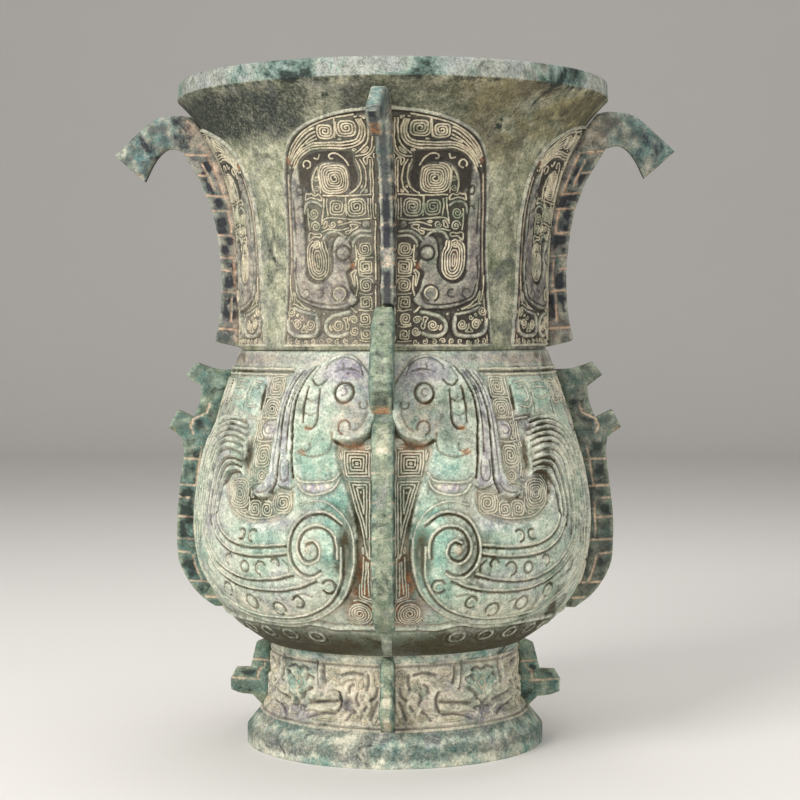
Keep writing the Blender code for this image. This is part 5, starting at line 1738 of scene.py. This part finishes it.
@dataclass
class FlangeRow:
    """The four cast flanges of one register, with the lines scored on their faces.

    A bar is a level with the shares of the plate's width where it starts and ends, a post is a share with
    its two levels, and a cell, sunk and dark, is two levels with two shares. Shares run from 0 at the wall
    to 1 at the outer edge. A strip is two levels of the outer edge with a tint and its share. Gloom is the
    share of dark on the faces, cell_gloom in the cells and end_shadow that of painted shadow on the edge
    just above a hook's end, face_teal the share of green on the faces, root that of dust beside the wall,
    and earth that of brown on the right plate. Faces that look down beyond rust_from get painted shade.
    Outside the radius of the hook the crust is green. The front plate leans sideways by its share about a
    radius, and a plate is wider from a radius outwards. Fades and reaches are widths over which a tint
    comes in, in millimetres, and a bend past corner, in radians, stays sharp.
    """

    stem: str
    finish: str
    bars: list[tuple[float, float, float]]
    posts: list[tuple[float, float, float]]
    cells: list[tuple[float, float, float, float]] = field(default_factory=list)
    strips: list[tuple[float, float, str, float]] = field(default_factory=list)
    gloom: float = 0.3
    cell_gloom: float = 0.5
    face_teal: float = 0.0
    end_shadow: float = 0.0
    root: float = 0.0
    earth: float = 0.0
    hook_from: float = 999.0
    lean: float = 0.0
    lean_about: float = 80.0
    rust_from: float = 999.0
    widen_from: float = 999.0
    widen: float = 0.0
    bevel: float = 0.75
    score: float = 0.45
    score_half: float = 0.55
    corner: float = 0.55
    edge_step: float = 0.7
    mesh_size: float = 1.0
    row_rise: float = 0.87
    lump: float = 0.16
    lump_scale: float = 0.16
    mottle_scale: float = 0.3
    rust_reach: float = 3.2
    end_shadow_reach: float = 13.0
    hook_fade: float = 6.0
    strip_fade: float = 1.2
    edge_steps: int = 4

    def outline(self, node: Item, side: Side) -> np.ndarray:
        """Edge of the CAD plate, as radius and height in millimetres."""
        body = bmesh.new()
        body.from_mesh(node.data)
        bmesh.ops.remove_doubles(body, verts=body.verts, dist=0.000002)
        across, out = Vector(side.across), Vector(side.out)
        facing = [item for item in body.faces if item.normal.dot(across) > 0.9]
        together = set(facing)
        ahead = {}
        for item in facing:
            for loop in item.loops:
                if not any(other in together and other is not item for other in loop.edge.link_faces):
                    ahead[loop.vert] = loop.link_loop_next.vert
        start = here = next(iter(ahead))
        path = []
        while True:
            path.append((here.co.dot(out) / MM, here.co.z / MM))
            here = ahead[here]
            if here is start:
                break
        body.free()
        return np.array(path)

    def softened(self, outline: np.ndarray) -> np.ndarray:
        """Space an outline evenly and ease its slight corners."""
        ends = np.roll(outline, -1, axis=0)
        points, pinned = [], []
        for before, a, b in zip(np.roll(outline, 1, axis=0), outline, ends):
            u, w = a - before, b - a
            bend = abs(math.atan2(u[0] * w[1] - u[1] * w[0], float(u @ w)))
            count = max(1, round(float(np.linalg.norm(b - a)) / self.edge_step))
            for k in range(count):
                points.append(a + (b - a) * k / count)
                pinned.append(k == 0 and bend > self.corner)
        path, held = np.array(points), np.array(pinned)[:, None]
        for _ in range(5):
            eased_path = (np.roll(path, 1, axis=0) + 2 * path + np.roll(path, -1, axis=0)) / 4
            path = np.where(held, path, eased_path)
        return path

    @staticmethod
    def crossing(outline: np.ndarray, level: float) -> tuple[float, float]:
        """Inner and outer radius of the plate next to the wall at one level."""
        found = []
        for (r0, z0), (r1, z1) in zip(outline, np.roll(outline, -1, axis=0)):
            if (z0 > level) != (z1 > level):
                found.append(r0 + (level - z0) * (r1 - r0) / (z1 - z0))
        found.sort()
        return (found[0], found[1]) if len(found) > 1 else (0.0, 0.0)

    def scores(self, outline: np.ndarray) -> list[np.ndarray]:
        """Paths of the scored lines on this plate."""
        paths = []
        for level, start, end in self.bars:
            a, b = self.crossing(outline, level)
            if b - a > 2.0:
                paths.append(np.array([(a + (b - a) * start, level), (a + (b - a) * end, level + 0.4)]))
        for share, low, high in self.posts:
            spots = []
            for level in np.linspace(low, high, 5):
                a, b = self.crossing(outline, float(level))
                if b - a > 2.0:
                    spots.append((a + (b - a) * share, float(level)))
            if len(spots) > 1:
                paths.append(np.array(spots))
        return paths

    def plate(self, name: str, outline: np.ndarray, half: float, side: Side,
              finish: Material) -> Item:
        """Cast one plate with rounded edges and scored faces.

        Args:
            name: Name of the piece.
            outline: Edge of the plate, in millimetres.
            half: Half of its thickness.
            side: Flange line that it stands on.
            finish: Its material.

        Returns:
            The closed piece.
        """
        count = len(outline)
        inward = leftward(outline, closed=True)
        scores = self.scores(outline)
        starts = np.vstack([path[:-1] for path in scores])
        ends = np.vstack([path[1:] for path in scores])
        wanted = [outline + inward * 0.25, outline + inward * 0.7]
        for path in scores:
            line = spline([tuple(place) for place in path], 0.8)
            cross = leftward(line)
            wanted += [line + cross * offset for offset in (-0.6, -0.3, 0.0, 0.3, 0.6)]
        low, high = outline.min(0), outline.max(0)
        size, rows = self.mesh_size, []
        for k in range(int((high[1] - low[1]) / size / self.row_rise) + 1):
            along = np.arange(low[0] + (k % 2) * size / 2, high[0], size)
            rows.append(np.column_stack([along, np.full(len(along), low[1] + k * size * self.row_rise)]))
        filling = np.vstack(rows)
        filling = filling[away_from(filling, starts, ends) > 0.95]
        loop_ends = np.roll(outline, -1, axis=0)
        filling = filling[away_from(filling, outline, loop_ends) > 1.1]
        inner = np.vstack(wanted + [filling])
        inner = inner[away_from(inner, outline, loop_ends) > 0.2]
        flat = [Vector(place) for place in np.vstack([outline, inner])]
        edges = [(i, (i + 1) % count) for i in range(count)]
        verts, _, faces, _, _, _ = geometry.delaunay_2d_cdt(flat, edges, [], 1, 0.0001)
        places = np.array([tuple(place) for place in verts])
        depth = away_from(places, outline, loop_ends)
        rim = depth < 0.01
        short = np.clip(self.bevel - depth, 0, None)
        fall = self.bevel - np.sqrt(np.clip(self.bevel ** 2 - short ** 2, 0, None))
        thick = half + self.widen * limited((places[:, 0] - self.widen_from) / 8.0) - fall
        cut = limited(1 - (away_from(places, starts, ends) / self.score_half) ** 2)
        thick = thick - self.score * cut
        cells, beside = self.hollows(outline, places)
        root = self.root * (0.35 if side is Side.RIGHT else 1.0)
        tints = {"cells": cells, "dust": np.maximum(cut, root * beside),
                 "rust": np.maximum(0.35 * cut, 0.22 * root * beside)}
        item = self.cast(name, places, thick - 0.3 * cells, faces, side, finish)
        self.tint(item, rim, tints, side)
        return item

    def hollows(self, outline: np.ndarray, places: np.ndarray) -> tuple[np.ndarray, np.ndarray]:
        """How far each place lies in one of the dark cells, and beside the wall, from 0 to 1."""
        levels = np.arange(places[:, 1].min(), places[:, 1].max(), 0.7)
        walls = np.array([self.crossing(outline, float(level)) for level in levels])
        a, b = (np.interp(places[:, 1], levels, walls[:, k]) for k in (0, 1))
        share = (places[:, 0] - a) / np.maximum(b - a, 0.1)
        found = np.zeros(len(places))
        for low, high, start, end in self.cells:
            up = np.minimum(places[:, 1] - low, high - places[:, 1]) / 0.9
            along = np.minimum(share - start, end - share) * (b - a) / 0.9
            found = np.maximum(found, limited(np.minimum(up, along)))
        return found, limited((0.40 - share) / 0.22)

    def cast(self, name: str, places: np.ndarray, thick: np.ndarray, faces: list, side: Side,
             finish: Material) -> Item:
        """Join two faces and a rounded edge into one closed plate, with the lumps of a casting.

        Args:
            name: Name of the piece.
            places: Points of a face, as radius and height in millimetres.
            thick: Half the plate's thickness at each of them.
            faces: Triangles of a face.
            side: Flange line that the plate stands on.
            finish: Its material.

        Returns:
            The piece, with the points of both faces before those of its edge.
        """
        out, across = side.out, side.across
        count, steps = len(places), self.edge_steps
        flat = out[None] * places[:, :1] + np.array([[0.0, 0.0, 1.0]]) * places[:, 1:]
        if side is Side.FRONT:
            flat = flat + across * self.lean * (self.lean_about - places[:, :1])
        world = [flat + across * thick[:, None], flat - across * thick[:, None]]
        polygons = [list(face) for face in faces] + [[count + i for i in reversed(face)] for face in faces]
        pairs = dict.fromkeys(pair for face in faces for pair in zip(face, face[1:] + face[:1]))
        border = [(a, b) for a, b in pairs if (b, a) not in pairs]
        spots, extra = {}, []
        for spot in sorted({spot for pair in border for spot in pair}):
            spots[spot] = [spot] + [2 * count + len(extra) + k for k in range(steps - 1)] + [count + spot]
            for k in range(1, steps):
                extra.append(flat[spot] + across * thick[spot] * (1 - 2 * k / steps))
        for a, b in border:
            for k in range(steps):
                polygons.append([spots[b][k], spots[a][k], spots[a][k + 1], spots[b][k + 1]])
        everything = np.vstack(world + [np.array(extra)])
        for row in everything:
            row += self.lump * np.array(noise.noise_vector(Vector(row * self.lump_scale)))
        item = new_object(name, everything * MM, polygons)
        outward(item.data)
        item.data.polygons.foreach_set("use_smooth", [True] * len(item.data.polygons))
        item.data.materials.append(finish)
        return item

    def tint(self, item: Item, rim: np.ndarray, spread: dict[str, np.ndarray],
             side: Side) -> None:
        """Tint a plate: dark faces and cells, dust and rust beside the lines, worn edges with a painted
        highlight, and painted shade on and above the hooks' downward ends.

        Args:
            item: The cast plate.
            rim: Which points of a face lie on its edge.
            spread: Shares of cells, dust and rust at the points of a face.
            side: Flange line that the plate stands on.
        """
        mesh, count = item.data, len(rim)
        values = np.zeros(len(mesh.vertices) * 3, np.float32)
        mesh.vertices.foreach_get("co", values)
        everything = values.reshape(-1, 3).astype(float) / MM
        mesh.vertices.foreach_get("normal", values)
        facing_down = limited(-values.reshape(-1, 3)[:, 2] * 2.0 - 0.5)
        radius, level = everything @ side.out, everything[:, 2]
        strip = np.zeros(len(everything))
        strip[2 * count:] = 1.0
        end = limited((radius - self.rust_from) / 1.5) * facing_down
        foot = level[end > 0.5].min() if (end > 0.5).any() else 0.0
        rusty = end * limited((foot + self.rust_reach - level) * 2 / self.rust_reach)
        mottle = np.array([noise.noise(Vector(row * self.mottle_scale)) for row in everything])
        rough = np.clip(0.75 + 1.5 * mottle, 0.1, 1.25)
        bare = np.zeros(len(everything) - 2 * count)
        both = {key: np.concatenate([shares, shares, bare]) for key, shares in spread.items()}
        gloomy = (self.gloom * (1 - strip) + self.cell_gloom * both["cells"]) * rough * (1 - both["dust"])
        # Painted shadow on the edge strip just above a hook's end, fading upwards.
        end_shadow_share = strip * limited((radius - self.rust_from) / 2.0) * (level > foot)
        end_shadow_share = self.end_shadow * end_shadow_share * limited(1 - (level - foot) / self.end_shadow_reach) * rough
        hooked = 0.8 * limited((radius - self.hook_from) / self.hook_fade)
        # Painted shade on the downward faces past rust_from, less where they are rusty.
        tints = {"dust": both["dust"], "dark": np.maximum(gloomy, np.maximum(0.8 * end, end_shadow_share) - rusty),
                 # Rims lightened: wear and a painted highlight.
                 "wear": np.concatenate([rim, rim, bare]).astype(float),
                 "teal": np.maximum(hooked, self.face_teal * (1 - strip)),
                 "lilac": np.full(len(everything), self.earth if side is Side.RIGHT else 0.0),
                 "rust": np.maximum(rusty, both["rust"])}
        for low, high, tint, share in self.strips:
            near = strip * limited(np.minimum(level - low, high - level) / self.strip_fade)
            tints[tint] = np.maximum(tints[tint], share * near)
        for tint, shares in tints.items():
            store(mesh, tint, shares)

    def build(self, finishes: Finishes) -> None:
        """Cast the four plates in place of the CAD ones."""
        for side in Side:
            node = f"{self.stem}_{side.name.lower()}"
            outline = self.softened(self.outline(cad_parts[node], side))
            low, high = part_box(node)
            half = min(high.x - low.x, high.y - low.y) / MM / 2
            piece = self.plate("cast_" + node, outline, half, side, finishes[self.finish])
            add_piece(piece, "flange_patina", node)


FLANGES = [
    FlangeRow(
        "neck_flange", "neck_flange", gloom=0.55, cell_gloom=0.9, root=0.5, hook_from=76.0, lean=0.065,
        rust_from=92.0,
        bars=[(215.0, 0.3, 1.0), (207.5, 0.65, 1.0), (200.0, 0.25, 1.0), (194.5, 0.2, 1.0),
              (185.5, 0.25, 1.0), (177.3, 0.15, 1.0), (172.6, 0.6, 1.0), (164.6, 0.25, 1.0),
              (151.0, 0.1, 1.0)],
        posts=[(0.6, 203.0, 212.0), (0.3, 201.0, 214.0), (0.3, 186.0, 194.0), (0.32, 167.0, 176.0),
               (0.45, 154.5, 163.5)],
        cells=[(195.0, 199.6, 0.2, 1.0), (186.0, 194.0, 0.35, 1.0), (178.6, 184.8, 0.2, 0.95),
               (165.4, 171.8, 0.4, 1.0), (154.6, 164.0, 0.1, 0.42), (155.0, 163.0, 0.5, 0.95),
               (201.4, 206.6, 0.65, 1.0), (203.0, 213.0, 0.34, 0.55)],
        strips=[(186.0, 218.0, "dark", 0.75), (177.5, 187.0, "dark", 0.9), (171.0, 177.5, "dust", 0.6),
                (153.0, 171.0, "dark", 0.9)]),
    FlangeRow(
        "belly_flange", "belly_flange", gloom=0.4, cell_gloom=0.45, face_teal=0.9, end_shadow=0.8, earth=0.7,
        rust_from=80.0, widen_from=64.0, widen=0.6,
        bars=[(103.2, 0.2, 1.0), (93.4, 0.15, 1.0), (89.0, 0.6, 1.0), (81.8, 0.3, 1.0), (73.6, 0.15, 1.0),
              (68.7, 0.6, 1.0), (57.8, 0.15, 1.0), (52.0, 0.2, 0.8)],
        posts=[(0.55, 113.0, 123.0), (0.35, 94.0, 107.0), (0.3, 75.0, 87.0), (0.4, 58.5, 67.0)],
        cells=[(94.2, 102.0, 0.42, 1.0), (82.6, 92.4, 0.35, 1.0), (74.4, 81.0, 0.35, 1.0),
               (59.0, 67.6, 0.45, 1.0), (104.0, 111.0, 0.45, 0.9), (113.0, 122.0, 0.2, 0.5)],
        # The dust and wear strips from 109.6 to 118.6 are painted light: a painted highlight on the top of
        # the lower plate, and light laid in the recess under the trunk where its shadow falls.
        strips=[(112.6, 118.6, "wear", 1.0), (112.6, 118.6, "dust", 0.6), (109.6, 112.4, "dust", 0.9),
                (46.0, 109.0, "dark", 0.16), (128.0, 170.0, "wear", 0.35)]),
    FlangeRow(
        "foot_flange", "belly_flange", face_teal=0.9, bars=[(21.5, 0.3, 0.95), (28.5, 0.2, 1.0)],
        posts=[(0.35, 22.5, 27.5)], cells=[(22.4, 27.6, 0.42, 0.95)],
        strips=[(8.0, 19.0, "dust", 0.9), (22.0, 27.0, "dust", 0.6)]),
]


# Studio


@dataclass
class Studio:
    """The floor, lights and camera, in metres."""

    camera_at: tuple[float, float, float] = (0.03525, -0.69911, 0.14983)
    looks: tuple[float, float, float] = (-0.0471, 0.9976, -0.0357)
    roll: float = -0.0033
    lens: float = 85.38
    floor: Colour = srgb(226, 222, 216)
    world: Colour = (0.80, 0.81, 0.83)
    world_light: float = 0.42

    def build(self) -> None:
        """Set up the stage."""
        scene = bpy.context.scene
        for item in [thing for thing in scene.objects if thing.type in ("LIGHT", "CAMERA")]:
            bpy.data.objects.remove(item)
        self.sweep()
        self.lamp("key", (-0.62, -0.78, 0.66), (0.0, 0.0, 0.13), 0.55, 12.0)
        self.lamp("fill", (0.85, -0.62, 0.32), (0.0, 0.0, 0.12), 0.8, 2.9)
        self.lamp("front", (0.16, -1.0, 0.36), (0.0, 0.0, 0.12), 0.7, 2.2)
        self.lamp("top", (0.1, 0.25, 0.95), (0.0, 0.0, 0.12), 0.7, 4.0)
        world = bpy.data.worlds.new("studio")
        scene.world = world
        world.use_nodes = True
        back = world.node_tree.nodes["Background"]
        back.inputs["Color"].default_value = (*self.world, 1.0)
        back.inputs["Strength"].default_value = self.world_light
        data = bpy.data.cameras.new("camera")
        data.lens = self.lens
        data.sensor_width = 36.0
        camera = linked("camera", data)
        camera.location = self.camera_at
        turn = Vector(self.looks).to_track_quat("-Z", "Y")
        camera.rotation_mode = "QUATERNION"
        camera.rotation_quaternion = turn @ Quaternion((0.0, 0.0, 1.0), self.roll)
        scene.camera = camera
        scene.view_settings.view_transform = "Standard"

    def sweep(self) -> None:
        """Lay a pale floor that curves up into a backdrop."""
        depth, bend, half = 1.6, 0.5, 4.0
        profile = [(-3.0, 0.0), (depth, 0.0)]
        for angle in np.linspace(0, QUARTER, 17)[1:]:
            profile.append((depth + bend * math.sin(angle), bend * (1 - math.cos(angle))))
        profile += [(depth + bend, 3.0)]
        places = [(x, y, z) for y, z in profile for x in (-half, half)]
        faces = [(2 * i, 2 * i + 1, 2 * i + 3, 2 * i + 2) for i in range(len(profile) - 1)]
        item = new_object("floor", np.array(places), faces)
        item.data.polygons.foreach_set("use_smooth", [True] * len(item.data.polygons))
        item.data.materials.append(Matt("pale_floor", self.floor).material())

    def lamp(self, name: str, place: tuple, target: tuple, size: float, power: float) -> None:
        """Hang a soft square lamp that faces a target."""
        data = bpy.data.lights.new(name, "AREA")
        data.size = size
        data.energy = power
        lamp = linked(name, data)
        lamp.location = place
        lamp.rotation_mode = "QUATERNION"
        lamp.rotation_quaternion = (Vector(target) - Vector(place)).to_track_quat("-Z", "Y")


def main() -> None:
    """Dress the vessel and set up the studio."""
    logging.basicConfig(level=logging.INFO, format="%(name)s: %(message)s")
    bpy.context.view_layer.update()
    noise.seed_set(LUMP_SEED)
    finishes = {key: finish.material() for key, finish in FINISHES.items()}
    walls = Walls()
    walls.build(finishes)
    BellyBirds(walls).build(finishes)
    NeckLeaves(walls).build(finishes)
    FootFrieze(walls).build(finishes)
    for row in FLANGES:
        row.build(finishes)
    Studio().build()


if __name__ == "__main__":
    main()
